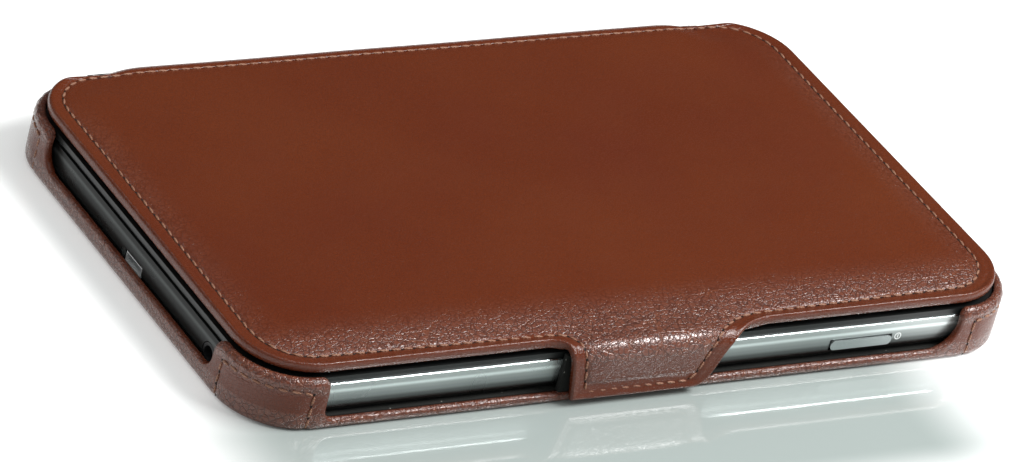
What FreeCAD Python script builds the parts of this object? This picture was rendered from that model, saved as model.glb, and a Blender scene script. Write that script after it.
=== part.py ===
import FreeCAD, Part
import os
import Sketcher

# An e-reader held in a leather folio case, lying closed on its back panel.
# X runs along the long side, the case opens at the front (-Y), and the spine is at the back (+Y).
# Z = 0 is the underside of the back panel, and the origin is under the middle of the whole object.
# All sizes are in millimetres.

doc = FreeCAD.newDocument("folio_reader")
sheet = doc.addObject("Spreadsheet::Sheet", "Sizes")

DRIVING_SIZES = {
    # the reader
    "device_length": 199.8,
    "device_width": 117.4,
    "device_corner": 14.5,
    "shell_height": 8.0,
    "shell_wall": 1.6,
    "shell_floor": 0.9,
    "shell_round": 2.7,
    "trim_height": 0.4,
    "bezel_height": 1.5,
    "bezel_inset": 0.3,
    "bezel_ledge": 0.4,
    "lens_inset": 3.9,
    "lens_corner": 9.0,
    "lens_thickness": 0.8,
    "lens_gap": 0.1,
    "display_end_inset": 17.9,
    "display_side_inset": 9.7,
    "display_corner": 1.0,
    "display_thickness": 3.0,
    "foam_thickness": 0.2,
    "foam_width": 6.0,
    "chassis_thickness": 0.8,
    "chassis_inset": 3.6,
    "part_gap": 0.2,
    "boss_radius": 2.2,
    "screw_radius": 0.75,
    "screw_head_radius": 1.5,
    "screw_head_height": 0.5,
    "screw_length": 4.0,
    "screw_end_inset": 9.5,
    "screw_side_inset": 14.0,
    "board_length": 54.0,
    "board_side_gap": 18.1,
    "board_thickness": 0.8,
    "board_height": 3.5,
    "battery_end_gap": 42.4,
    "battery_side_gap": 20.1,
    "battery_board_gap": 4.0,
    "battery_thickness": 3.4,
    "can_length": 20.0,
    "can_width": 22.0,
    "can_height": 0.7,
    "flex_thickness": 0.2,
    "flex_width": 24.0,
    "flex_reach": 8.0,
    "flex_end_inset": 3.0,
    "flex_y": -12.0,
    "flex_slack": 1.0,
    "front_can_y": -12.0,
    "rear_can_y": 22.0,
    "key_flex_thickness": 0.3,
    "speaker_length": 12.0,
    "speaker_width": 22.0,
    "speaker_height": 3.0,
    "speaker_end_gap": 8.0,
    "speaker_y": -12.0,
    "aerial_length": 30.0,
    "aerial_width": 5.0,
    "aerial_thickness": 0.6,
    "aerial_end_gap": 19.0,
    "aerial_side_gap": 3.5,
    # the sockets at the bottom end
    "usb_width": 7.5,
    "usb_height": 2.5,
    "usb_depth": 5.4,
    "usb_wall": 0.3,
    "usb_tongue": 0.6,
    "usb_tongue_side": 1.3,
    "usb_tongue_recess": 1.0,
    "usb_recess": 0.2,
    "end_recess": 0.1,
    "socket_clearance": 0.2,
    "jack_radius": 1.75,
    "jack_collar": 2.5,
    "jack_body": 6.0,
    "jack_height": 4.0,
    "jack_depth": 13.0,
    "jack_inset": 22.7,
    "jack_rise": 2.95,
    "light_radius": 1.0,
    "light_y": 4.9,
    "light_rise": 2.6,
    "microphone_jack_gap": 14.1,
    "microphone_rise": 1.9,
    "microphone_hole": 0.5,
    "microphone_depth": 2.0,
    "microphone_width": 3.5,
    "microphone_height": 1.2,
    "microphone_wall_gap": 0.1,
    # the keys
    "key_height": 2.4,
    "key_rise": 3.7,
    "key_proud": 0.4,
    "key_clearance": 0.2,
    "key_flange": 0.9,
    "key_flange_thickness": 0.5,
    "key_flange_corner": 1.0,
    "key_end_flat": 0.05,
    "key_wall_gap": 0.05,
    "rocker_wall_gap": 0.4,
    "key_travel": 0.35,
    "power_length": 16.7,
    "power_inset": 41.9,
    "volume_length": 22.0,
    "volume_inset": 30.7,
    "switch_depth": 1.6,
    "switch_width": 4.0,
    "power_switch_gap": 0.1,
    "volume_switch_gap": 0.4,
    # the case
    "leather": 0.8,
    "panel_board": 1.0,
    "panel_lining": 0.4,
    "rim_height": 2.6,
    "rim_round": 0.9,
    "pocket_gap": 0.2,
    "pocket_wall": 1.7,
    "pocket_lip": 0.8,
    "pocket_front_run": 18.3,
    "pocket_side_run": 19.8,
    "lip_clearance": 0.1,
    "tray_overhang": 0.5,
    "clip_width": 41.0,
    "clip_wall": 1.3,
    "clip_gap": 0.4,
    "clip_plate_width": 34.0,
    "clip_plate_height": 5.0,
    "clip_plate_thickness": 0.5,
    "cover_end_overhang": 0.1,
    "cover_side_overhang": 0.45,
    "cover_corner": 16.0,
    "cover_gap": 0.2,
    "cover_leather": 0.9,
    "cover_padding": 0.7,
    "cover_board": 1.2,
    "cover_lining": 0.4,
    "cover_edge": 2.2,
    "cover_round": 1.4,
    "cover_offset": 0.4,
    "spine_inset": 18.3,
    "spine_leather": 0.9,
    "spine_board": 0.7,
    "spine_gap": 0.3,
    "spine_board_inset": 2.0,
    "fold_gap": 0.3,
    "tab_offset": -2.7,
    "tab_top_width": 42.4,
    "tab_foot_width": 36.4,
    "tab_thickness": 2.2,
    "tab_skin": 0.9,
    "tab_lining": 0.5,
    "tab_border": 2.6,
    "tab_corner": 5.0,
    "tab_foot": 1.8,
    "tab_gap": 0.2,
    "shoulder": 8.0,
    "magnet_radius": 4.0,
    "magnet_spacing": 18.0,
}

for row, (alias, size) in enumerate(DRIVING_SIZES.items(), start=1):
    sheet.set(f"A{row}", alias)
    sheet.set(f"B{row}", str(size))
    sheet.setAlias(f"B{row}", alias)
doc.recompute()


class Cells:
    """Gives each sheet cell as the text that an expression uses for it."""

    def __getattr__(self, alias):
        return f"Sizes.{alias}"


size = Cells()
finished = []


def value(expression):
    """The number that an expression over the sheet comes to."""
    return float(sheet.evalExpression(str(expression)))


# Heights and outlines that several pieces share, each worked out from the driving sizes.
PANEL_TOP = f"({size.leather} + {size.panel_board} + {size.panel_lining})"
SHELL_TOP = f"({PANEL_TOP} + {size.shell_height})"
TRIM_TOP = f"({SHELL_TOP} + {size.trim_height})"
DEVICE_TOP = f"({TRIM_TOP} + {size.bezel_height})"
LENS_BASE = f"({DEVICE_TOP} - {size.lens_thickness})"
DISPLAY_BASE = f"({LENS_BASE} - {size.display_thickness})"
CHASSIS_TOP = f"({DISPLAY_BASE} - {size.foam_thickness})"
CHASSIS_BASE = f"({CHASSIS_TOP} - {size.chassis_thickness})"
CAVITY_BASE = f"({PANEL_TOP} + {size.shell_floor})"
BOARD_BASE = f"({PANEL_TOP} + {size.board_height})"
BOARD_TOP = f"({BOARD_BASE} + {size.board_thickness})"
POCKET_TOP = f"({DEVICE_TOP} + {size.lip_clearance} + {size.pocket_lip})"
COVER_BASE = f"({POCKET_TOP} + {size.cover_gap})"
COVER_CORE = f"({size.cover_lining} + {size.cover_board} + {size.cover_padding})"
COVER_TOP = f"({COVER_BASE} + {COVER_CORE} + {size.cover_leather})"

POCKET_REACH = f"({size.pocket_gap} + {size.pocket_wall})"
TRAY_REACH = f"({POCKET_REACH} + {size.tray_overhang})"
TRAY_LENGTH = f"({size.device_length} + 2 * {TRAY_REACH})"
TRAY_WIDTH = f"({size.device_width} + 2 * {TRAY_REACH})"
TRAY_CORNER = f"({size.device_corner} + {TRAY_REACH})"
TAB_INSIDE = f"({TRAY_WIDTH} / 2 + {size.tab_gap})"
TAB_OUTSIDE = f"({TAB_INSIDE} + {size.tab_thickness})"
SPINE_INSIDE = f"({TRAY_WIDTH} / 2 + {size.spine_gap})"
SPINE_OUTSIDE = f"({SPINE_INSIDE} + {size.spine_leather} + {size.spine_board})"
CASE_Y = f"(({TAB_OUTSIDE} - {SPINE_OUTSIDE}) / 2)"

DEVICE_END = f"({size.device_length} / 2)"
DEVICE_SIDE = f"({size.device_width} / 2)"
INSIDE_END = f"({DEVICE_END} - {size.shell_wall})"
INSIDE_SIDE = f"({DEVICE_SIDE} - {size.shell_wall})"
LENS_LENGTH = f"({size.device_length} - 2 * {size.lens_inset})"
LENS_WIDTH = f"({size.device_width} - 2 * {size.lens_inset})"
DISPLAY_LENGTH = f"({size.device_length} - 2 * {size.display_end_inset})"
DISPLAY_WIDTH = f"({size.device_width} - 2 * {size.display_side_inset})"
COVER_LENGTH = f"({size.device_length} + 2 * {size.cover_end_overhang})"
COVER_WIDTH = f"({size.device_width} + 2 * {size.cover_side_overhang})"
SPINE_LENGTH = f"({TRAY_LENGTH} - 2 * {size.spine_inset})"
JACK_Y = f"(-{DEVICE_SIDE} + {size.jack_inset})"
MICROPHONE_Y = f"({JACK_Y} + {size.microphone_jack_gap})"
POWER_X = f"({DEVICE_END} - {size.power_inset})"
VOLUME_Y = f"({DEVICE_SIDE} - {size.volume_inset})"

# How far a drill or cutter runs past the face it goes through.
OVERRUN = "1"


# ---------------------------------------------------------------- drawing tools

def place(item, x="0", y="0", z="0"):
    """Puts a piece at x, y, z from the middle of the case's underside."""
    item.setExpression("Placement.Base.x", str(x))
    item.setExpression("Placement.Base.y", f"{CASE_Y} + ({y})")
    item.setExpression("Placement.Base.z", str(z))


def finish(item, label):
    """Names a piece, which names its file, and counts it among the finished ones."""
    item.Label = label
    finished.append(item)
    return item


def new_body(label, x="0", y="0", z="0"):
    body = doc.addObject("PartDesign::Body", f"body_{label}")
    place(body, x, y, z)
    return finish(body, label)


def new_sketch(body, name, role="XY_Plane", lift="0"):
    sketch = body.newObject("Sketcher::SketchObject", name)
    plane = next(p for p in body.Origin.OriginFeatures if p.Role == role)
    sketch.AttachmentSupport = [(plane, "")]
    sketch.MapMode = "FlatFace"
    sketch.setExpression("AttachmentOffset.Base.z", str(lift))
    return sketch


def bind(sketch, constraint, expression):
    """Adds one dimension to a sketch and ties it to an expression."""
    index = sketch.addConstraint(constraint)
    sketch.setExpression(f"Constraints[{index}]", str(expression))


def rounded_loop(sketch, length, width, radius):
    """A rectangle with round corners about the sketch's origin."""
    half_x, half_y, r = value(length) / 2, value(width) / 2, value(radius)
    up = FreeCAD.Vector(0, 0, 1)
    corners = [(half_x - r, half_y - r, 0), (r - half_x, half_y - r, 1),
               (r - half_x, r - half_y, 2), (half_x - r, r - half_y, 3)]
    quarter = 1.5707963267948966
    first = sketch.GeometryCount
    for x, y, turn in corners:
        circle = Part.Circle(FreeCAD.Vector(x, y, 0), up, r)
        sketch.addGeometry(Part.ArcOfCircle(circle, turn * quarter, (turn + 1) * quarter))
    for side in range(4):
        start = sketch.Geometry[first + side].EndPoint
        end = sketch.Geometry[first + (side + 1) % 4].StartPoint
        line = sketch.addGeometry(Part.LineSegment(start, end))
        sketch.addConstraint(Sketcher.Constraint("Tangent", first + side, 2, line, 1))
        sketch.addConstraint(Sketcher.Constraint("Tangent", line, 2, first + (side + 1) % 4, 1))
        direction = "Horizontal" if side % 2 == 0 else "Vertical"
        sketch.addConstraint(Sketcher.Constraint(direction, line))
    for arc in range(1, 4):
        sketch.addConstraint(Sketcher.Constraint("Equal", first, first + arc))
    sketch.addConstraint(Sketcher.Constraint("Symmetric", first, 3, first + 2, 3, -1, 1))
    bind(sketch, Sketcher.Constraint("Radius", first, r), radius)
    bind(sketch, Sketcher.Constraint("DistanceX", first + 2, 3, first, 3, 2 * (half_x - r)),
         f"{length} - 2 * {radius}")
    bind(sketch, Sketcher.Constraint("DistanceY", first + 2, 3, first, 3, 2 * (half_y - r)),
         f"{width} - 2 * {radius}")


def polygon(sketch, corners):
    """A closed outline of straight lines, with each corner tied to the sketch's origin."""
    points = [FreeCAD.Vector(value(x), value(y), 0) for x, y in corners]
    lines = []
    for i, point in enumerate(points):
        following = points[(i + 1) % len(points)]
        lines.append(sketch.addGeometry(Part.LineSegment(point, following)))
    for i, line in enumerate(lines):
        following = lines[(i + 1) % len(lines)]
        sketch.addConstraint(Sketcher.Constraint("Coincident", line, 2, following, 1))
    for line, point, (x, y) in zip(lines, points, corners):
        bind(sketch, Sketcher.Constraint("DistanceX", -1, 1, line, 1, point.x), x)
        bind(sketch, Sketcher.Constraint("DistanceY", -1, 1, line, 1, point.y), y)


def rectangle(sketch, low_x, low_y, high_x, high_y):
    polygon(sketch, [(low_x, low_y), (high_x, low_y), (high_x, high_y), (low_x, high_y)])


def pad(body, sketch, length, reverse=False):
    feature = body.newObject("PartDesign::Pad", "Pad")
    feature.Profile = sketch
    feature.Reversed = reverse
    feature.setExpression("Length", str(length))
    doc.recompute()
    return feature


def pocket(body, sketch, depth, reverse=False):
    """Cuts a sketch into a body, and stops if the cut misses it."""
    before = body.Shape.Volume
    feature = body.newObject("PartDesign::Pocket", "Pocket")
    feature.Profile = sketch
    feature.Reversed = reverse
    feature.setExpression("Length", str(depth))
    doc.recompute()
    if body.Shape.Volume >= before:
        raise ValueError(f"a pocket in {body.Label} cuts nothing")
    return feature


def picked(feature, wanted):
    """The names of the edges that a test on their bounding box accepts."""
    return [f"Edge{i}" for i, edge in enumerate(feature.Shape.Edges, start=1)
            if wanted(edge.BoundBox)]


def rounded(body, feature, edges, radius):
    fillet = body.newObject("PartDesign::Fillet", "Fillet")
    fillet.Base = (feature, edges)
    fillet.setExpression("Radius", str(radius))
    doc.recompute()
    return fillet


def flat_at(height):
    """Accepts edges that lie level at a height."""
    return lambda box: abs(box.ZMin - height) < 1e-4 and abs(box.ZMax - height) < 1e-4


def upright_at(x, y):
    """Accepts edges that stand along Z at x, y."""
    return lambda box: (box.XLength < 1e-4 and box.YLength < 1e-4
                        and abs(box.XMin - x) < 1e-3 and abs(box.YMin - y) < 1e-3)


def slab(label, length, width, corner, thickness, z, y="0"):
    """A flat sheet with round corners."""
    body = new_body(label, y=y, z=z)
    sketch = new_sketch(body, f"{label}_outline")
    rounded_loop(sketch, length, width, corner)
    pad(body, sketch, thickness)
    return body


def ring(label, outside, inside, thickness, z, y="0"):
    """A flat frame between two rounded outlines, each given as length, width and corner."""
    body = new_body(label, y=y, z=z)
    sketch = new_sketch(body, f"{label}_outline")
    rounded_loop(sketch, *outside)
    rounded_loop(sketch, *inside)
    pad(body, sketch, thickness)
    return body


def box(length, width, height, x, y, z, label="box"):
    """A block centred on x and y, standing on z."""
    block = doc.addObject("Part::Box", f"block_{label}")
    block.setExpression("Length", str(length))
    block.setExpression("Width", str(width))
    block.setExpression("Height", str(height))
    place(block, f"({x}) - ({length}) / 2", f"({y}) - ({width}) / 2", z)
    return block


UPRIGHT = FreeCAD.Rotation()
ALONG_X = FreeCAD.Rotation(FreeCAD.Vector(0, 1, 0), 90)
ALONG_FRONT = FreeCAD.Rotation(FreeCAD.Vector(1, 0, 0), 90)


def rod(radius, length, x, y, z, turn=UPRIGHT, label="rod"):
    """A cylinder that starts at x, y, z and runs along its turned axis."""
    cylinder = doc.addObject("Part::Cylinder", f"rod_{label}")
    cylinder.Placement = FreeCAD.Placement(FreeCAD.Vector(), turn)
    cylinder.setExpression("Radius", str(radius))
    cylinder.setExpression("Height", str(length))
    place(cylinder, x, y, z)
    return cylinder


def joined(parts, label):
    """Fuses pieces that are made as one."""
    fuse = doc.addObject("Part::MultiFuse", f"fuse_{label}")
    fuse.Shapes = parts
    fuse.Refine = True
    return fuse


def grouped(parts, label):
    """Keeps like pieces in one node as separate solids."""
    group = doc.addObject("Part::Compound", f"group_{label}")
    group.Links = parts
    return group


def cut(base, tools, label):
    """Takes tools away from a base, and stops if one of them misses it."""
    result = base
    for number, tool in enumerate(tools, start=1):
        step = doc.addObject("Part::Cut", f"cut_{label}_{number}")
        step.Base = result
        step.Tool = tool
        doc.recompute()
        if step.Shape.Volume >= step.Base.Shape.Volume:
            raise ValueError(f"cut {number} in {label} takes nothing away")
        result = step
    return result


# ---------------------------------------------------------------- the back panel

def back_panel():
    """A leather tray with a rolled rim, a board inside it and a soft lining on top."""
    rim_width = f"({size.tray_overhang} + {size.pocket_wall})"
    leather = new_body("back_panel_leather")
    outline = new_sketch(leather, "panel_outline")
    rounded_loop(outline, TRAY_LENGTH, TRAY_WIDTH, TRAY_CORNER)
    panel = pad(leather, outline, size.rim_height)
    rim_top = value(size.rim_height)
    edges = picked(panel, flat_at(0)) + picked(panel, flat_at(rim_top))
    rounded(leather, panel, edges, size.rim_round)
    inside = (f"({TRAY_LENGTH} - 2 * {rim_width})", f"({TRAY_WIDTH} - 2 * {rim_width})",
              f"({TRAY_CORNER} - {rim_width})")
    well = new_sketch(leather, "panel_well", lift=size.rim_height)
    rounded_loop(well, *inside)
    pocket(leather, well, f"{size.rim_height} - {size.leather}")
    slab("back_panel_board", *inside, size.panel_board, size.leather)
    slab("back_panel_lining", *inside, size.panel_lining, f"{size.leather} + {size.panel_board}")


def corner_pocket(label, side_x, side_y):
    """A leather wall round one corner of the reader, with a lip over its face."""
    reach_x = f"({DEVICE_END} + {POCKET_REACH})"
    reach_y = f"({DEVICE_SIDE} + {POCKET_REACH})"

    def spot(inward_x, inward_y):
        return f"{side_x} * ({reach_x} - ({inward_x}))", f"{side_y} * ({reach_y} - ({inward_y}))"

    wall, run_x, run_y = size.pocket_wall, size.pocket_front_run, size.pocket_side_run
    body = new_body(label, z=size.rim_height)
    height = f"({POCKET_TOP} - {size.rim_height})"
    wall_sketch = new_sketch(body, f"{label}_wall")
    polygon(wall_sketch, [spot("0", "0"), spot(run_x, "0"), spot(run_x, wall),
                          spot(wall, wall), spot(wall, run_y), spot("0", run_y)])
    pad(body, wall_sketch, height)
    lip_sketch = new_sketch(body, f"{label}_lip", lift=height)
    polygon(lip_sketch, [spot("0", "0"), spot(run_x, "0"), spot(run_x, wall),
                         spot(wall, run_y), spot("0", run_y)])
    lipped = pad(body, lip_sketch, size.pocket_lip, reverse=True)
    outer = [value(text) for text in spot("0", "0")]
    inner = [value(text) for text in spot(wall, wall)]
    turned = rounded(body, lipped, picked(lipped, upright_at(*outer)),
                     f"{size.device_corner} + {POCKET_REACH}")
    rounded(body, turned, picked(turned, upright_at(*inner)),
            f"{size.device_corner} + {size.pocket_gap}")


def front_clip():
    """A short wall behind the closing tab, with a steel plate in it that the magnets hold."""
    height = f"({POCKET_TOP} - {size.rim_height} - {size.pocket_lip})"
    middle = f"-({DEVICE_SIDE} + {size.clip_gap} + {size.clip_wall} / 2)"
    base = box(size.clip_width, size.clip_wall, height, size.tab_offset, middle,
               size.rim_height, "clip")
    sizes = (size.clip_plate_width, size.clip_plate_thickness, size.clip_plate_height)
    plate_z = f"{size.rim_height} + ({height} - {size.clip_plate_height}) / 2"
    hollow = box(*sizes, size.tab_offset, middle, plate_z, "clip_hollow")
    finish(cut(base, [hollow], "front_clip_wall"), "front_clip_wall")
    finish(box(*sizes, size.tab_offset, middle, plate_z, "clip_plate"), "clip_plate")


# ---------------------------------------------------------------- spine, cover and tab

def spine():
    """The strip that joins the back panel to the cover: leather outside, a thin board inside."""
    height = f"({COVER_TOP} - 2 * {size.fold_gap})"
    leather_y = f"({SPINE_OUTSIDE} - {size.spine_leather} / 2)"
    board_y = f"({SPINE_INSIDE} + {size.spine_board} / 2)"
    leather = box(SPINE_LENGTH, size.spine_leather, height, "0", leather_y,
                  size.fold_gap, "spine_leather")
    finish(leather, "spine_leather")
    board_height = f"({COVER_BASE} - {size.rim_height})"
    board_length = f"{SPINE_LENGTH} - 2 * {size.spine_board_inset}"
    board = box(board_length, size.spine_board, board_height, "0", board_y,
                size.rim_height, "spine_board")
    finish(board, "spine_board")


def cover():
    """The front cover: leather rolled round a board, with thin padding on top of the board."""
    y = size.cover_offset
    leather = new_body("cover_leather", y=y, z=COVER_BASE)
    outline = new_sketch(leather, "cover_outline")
    rounded_loop(outline, COVER_LENGTH, COVER_WIDTH, size.cover_corner)
    thickness = f"({COVER_TOP} - {COVER_BASE})"
    panel = pad(leather, outline, thickness)
    edges = picked(panel, flat_at(0)) + picked(panel, flat_at(value(thickness)))
    rounded(leather, panel, edges, size.cover_round)
    inside = (f"({COVER_LENGTH} - 2 * {size.cover_edge})",
              f"({COVER_WIDTH} - 2 * {size.cover_edge})",
              f"({size.cover_corner} - {size.cover_edge})")
    hinge = new_sketch(leather, "cover_hinge_strip", lift=thickness)
    half = f"{SPINE_LENGTH} / 2"
    rear = f"({SPINE_INSIDE} - {size.fold_gap} - {y})"
    rectangle(hinge, f"-{half}", f"{COVER_WIDTH} / 2 - {size.cover_edge}", half, rear)
    pad(leather, hinge, size.cover_leather, reverse=True)
    shoulders = new_sketch(leather, "cover_shoulders", lift=thickness)
    edge = f"-({COVER_WIDTH} / 2 - {size.cover_edge})"
    front = f"-({TAB_INSIDE} - {size.tab_gap} + {y})"
    low, high = (f"({size.tab_offset} {sign} {size.tab_top_width} / 2)" for sign in "-+")
    polygon(shoulders, [(f"{low} - {size.shoulder}", edge), (low, front), (high, front),
                        (f"{high} + {size.shoulder}", edge)])
    pad(leather, shoulders, size.cover_leather, reverse=True)
    well = new_sketch(leather, "cover_well")
    rounded_loop(well, *inside)
    pocket(leather, well, COVER_CORE, reverse=True)
    slab("cover_lining", *inside, size.cover_lining, COVER_BASE, y)
    board_z = f"{COVER_BASE} + {size.cover_lining}"
    slab("cover_board", *inside, size.cover_board, board_z, y)
    slab("cover_padding", *inside, size.cover_padding, f"{board_z} + {size.cover_board}", y)


def tab_outline(sketch, inset):
    """The tab's tapering outline, drawn in its own plane and made smaller by an inset."""
    head = f"({COVER_TOP} - {size.fold_gap} - ({inset}))"
    foot = f"({size.tab_foot} + ({inset}))"
    wide = f"({size.tab_top_width} / 2 - ({inset}))"
    narrow = f"({size.tab_foot_width} / 2 - ({inset}))"
    middle = size.tab_offset
    polygon(sketch, [(f"{middle} - {narrow}", foot), (f"{middle} + {narrow}", foot),
                     (f"{middle} + {wide}", head), (f"{middle} - {wide}", head)])
    return foot


def tab():
    """The closing tab that hangs from the cover: leather, two magnets and a lining."""
    leather = new_body("closure_tab")
    outline = new_sketch(leather, "tab_outline", "XZ_Plane", TAB_INSIDE)
    tab_outline(outline, "0")
    plate = pad(leather, outline, size.tab_thickness)
    foot = value(size.tab_foot)
    foot_corners = picked(plate, lambda box: box.XLength < 1e-4 and box.ZLength < 1e-4
                          and box.ZMin < foot + 1e-3)
    rounded(leather, plate, foot_corners, size.tab_corner)
    well = new_sketch(leather, "tab_well", "XZ_Plane", TAB_INSIDE)
    tab_outline(well, size.tab_border)
    pocket(leather, well, f"{size.tab_thickness} - {size.tab_skin}", reverse=True)
    lining = new_body("tab_lining")
    sheet_sketch = new_sketch(lining, "tab_lining_outline", "XZ_Plane", TAB_INSIDE)
    tab_outline(sheet_sketch, size.tab_border)
    pad(lining, sheet_sketch, size.tab_lining)
    depth = f"({size.tab_thickness} - {size.tab_skin} - {size.tab_lining})"
    middle_z = f"({COVER_TOP} - {size.fold_gap} + {size.tab_foot}) / 2"
    discs = [rod(size.magnet_radius, depth, f"{size.tab_offset} {side} {size.magnet_spacing} / 2",
                 f"-({TAB_INSIDE} + {size.tab_lining})", middle_z, ALONG_FRONT, "magnet")
             for side in "-+"]
    finish(grouped(discs, "magnets"), "tab_magnets")


# ---------------------------------------------------------------- the reader's casing

SCREW_PLACES = [(f"{sx} * ({DEVICE_END} - {size.screw_end_inset})",
                 f"{sy} * ({DEVICE_SIDE} - {size.screw_side_inset})")
                for sx in (-1, 1) for sy in (-1, 1)]

USB_RISE = f"({size.board_height} - {size.usb_height} / 2)"


def back_shell():
    """The reader's back and sides in one moulding, with screw bosses and the holes in its walls."""
    base = new_body("back_shell_moulding", z=PANEL_TOP)
    finished.remove(base)
    outline = new_sketch(base, "shell_outline")
    rounded_loop(outline, size.device_length, size.device_width, size.device_corner)
    solid = pad(base, outline, size.shell_height)
    rounded(base, solid, picked(solid, flat_at(0)), size.shell_round)
    hollow = new_sketch(base, "shell_hollow", lift=size.shell_height)
    rounded_loop(hollow, f"(2 * {INSIDE_END})", f"(2 * {INSIDE_SIDE})",
                 f"({size.device_corner} - {size.shell_wall})")
    pocket(base, hollow, f"{size.shell_height} - {size.shell_floor}")
    boss_height = f"({CHASSIS_BASE} - {CAVITY_BASE})"
    bosses = [rod(size.boss_radius, boss_height, x, y, CAVITY_BASE, label="boss")
              for x, y in SCREW_PLACES]
    cores = [rod(size.screw_radius, f"{size.screw_length} - {size.chassis_thickness}", x, y,
                 f"{CHASSIS_TOP} - {size.screw_length}", label="screw_core") for x, y in SCREW_PLACES]
    shell = joined([base] + bosses, "back_shell")
    gap = size.socket_clearance
    wall = f"(2 * {size.shell_wall})"
    end_x = f"-{DEVICE_END}"
    usb_hole = box(wall, f"{size.usb_width} + 2 * {gap}", f"{size.usb_height} + 2 * {gap}", end_x,
                   "0", f"{PANEL_TOP} + {USB_RISE} - {size.usb_height} / 2 - {gap}", "usb_hole")
    outside_x = f"-{DEVICE_END} - {OVERRUN}"
    through = f"{size.shell_wall} + 2 * {OVERRUN}"
    round_holes = [rod(radius, through, outside_x, y, f"{PANEL_TOP} + {rise}", ALONG_X, "end_hole")
                   for radius, y, rise in [
                       (f"{size.jack_collar} + {gap}", JACK_Y, size.jack_rise),
                       (size.light_radius, size.light_y, size.light_rise),
                       (size.microphone_hole, MICROPHONE_Y, size.microphone_rise)]]
    tall = f"{size.key_height} + 2 * {size.key_clearance}"
    key_z = f"{PANEL_TOP} + {size.key_rise} - ({tall}) / 2"
    power_hole = box(f"{size.power_length} + 2 * {size.key_clearance}", wall, tall, POWER_X,
                     f"-{DEVICE_SIDE}", key_z, "power_hole")
    volume_hole = box(wall, f"{size.volume_length} + 2 * {size.key_clearance}", tall, DEVICE_END,
                      VOLUME_Y, key_z, "volume_hole")
    tools = cores + [usb_hole] + round_holes + [power_hole, volume_hole]
    finish(cut(shell, tools, "back_shell"), "back_shell")


def casing_rings():
    """The bright trim line, the black bezel with its ledge, and the tape that holds the lens."""
    inside = (f"(2 * {INSIDE_END})", f"(2 * {INSIDE_SIDE})",
              f"({size.device_corner} - {size.shell_wall})")
    ring("chrome_trim", (size.device_length, size.device_width, size.device_corner), inside,
         size.trim_height, SHELL_TOP)
    bezel = new_body("front_bezel", z=TRIM_TOP)
    outline = new_sketch(bezel, "bezel_outline")
    rounded_loop(outline, f"({size.device_length} - 2 * {size.bezel_inset})",
                 f"({size.device_width} - 2 * {size.bezel_inset})",
                 f"({size.device_corner} - {size.bezel_inset})")
    window = (f"({DISPLAY_LENGTH} + 2 * {size.part_gap})",
              f"({DISPLAY_WIDTH} + 2 * {size.part_gap})",
              f"({size.display_corner} + {size.part_gap})")
    rounded_loop(outline, *window)
    pad(bezel, outline, size.bezel_height)
    recess = new_sketch(bezel, "bezel_recess", lift=size.bezel_height)
    lens_seat = (f"({LENS_LENGTH} + 2 * {size.lens_gap})",
                 f"({LENS_WIDTH} + 2 * {size.lens_gap})",
                 f"({size.lens_corner} + {size.lens_gap})")
    rounded_loop(recess, *lens_seat)
    pocket(bezel, recess, f"{size.bezel_height} - {size.bezel_ledge}")
    ring("lens_tape", (LENS_LENGTH, LENS_WIDTH, size.lens_corner), window,
         f"({LENS_BASE} - {TRIM_TOP} - {size.bezel_ledge})", f"{TRIM_TOP} + {size.bezel_ledge}")
    slab("screen_lens", LENS_LENGTH, LENS_WIDTH, size.lens_corner,
         size.lens_thickness, LENS_BASE)


def display():
    """The display, the foam frame it rests on and the metal chassis plate under it."""
    outline = (DISPLAY_LENGTH, DISPLAY_WIDTH, size.display_corner)
    slab("display_panel", *outline, size.display_thickness, DISPLAY_BASE)
    ring("display_foam", outline,
         (f"({DISPLAY_LENGTH} - 2 * {size.foam_width})",
          f"({DISPLAY_WIDTH} - 2 * {size.foam_width})", size.display_corner),
         size.foam_thickness, CHASSIS_TOP)
    plate = slab("chassis_plate_blank", f"(2 * ({INSIDE_END} - {size.chassis_inset}))",
                 f"(2 * ({INSIDE_SIDE} - {size.chassis_inset}))",
                 f"({size.device_corner} - {size.shell_wall} - {size.chassis_inset})",
                 size.chassis_thickness, CHASSIS_BASE)
    finished.remove(plate)
    through = f"{size.chassis_thickness} + 2 * {OVERRUN}"
    below = f"{CHASSIS_BASE} - {OVERRUN}"
    holes = [rod(size.screw_radius, through, x, y, below, label="chassis_hole")
             for x, y in SCREW_PLACES]
    holes.append(box(f"3 * {size.flex_thickness}", f"{size.flex_width} + {size.flex_slack}",
                     through, FLEX_X, size.flex_y, below, "flex_slot"))
    finish(cut(plate, holes, "chassis_plate"), "chassis_plate")


def chassis_screws():
    """Four screws that hold the chassis plate to the shell's bosses."""
    screws = []
    for x, y in SCREW_PLACES:
        shank = rod(size.screw_radius, size.screw_length, x, y,
                    f"{CHASSIS_TOP} - {size.screw_length}", label="shank")
        head = rod(size.screw_head_radius, size.screw_head_height, x, y, CHASSIS_TOP, label="head")
        screws.append(joined([shank, head], "screw"))
    finish(grouped(screws, "screws"), "chassis_screws")


# ---------------------------------------------------------------- inside the reader

BOARD_X = f"(-{INSIDE_END} + {size.part_gap} + {size.board_length} / 2)"
FLEX_X = f"({BOARD_X} + {size.board_length} / 2 - {size.flex_end_inset})"
BOARD_WIDTH = f"(2 * ({INSIDE_SIDE} - {size.board_side_gap}))"
BATTERY_START = f"({BOARD_X} + {size.board_length} / 2 + {size.battery_board_gap})"
BATTERY_LENGTH = f"({INSIDE_END} - {size.battery_end_gap} - {BATTERY_START})"
BATTERY_WIDTH = f"(2 * ({INSIDE_SIDE} - {size.battery_side_gap}))"


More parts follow.
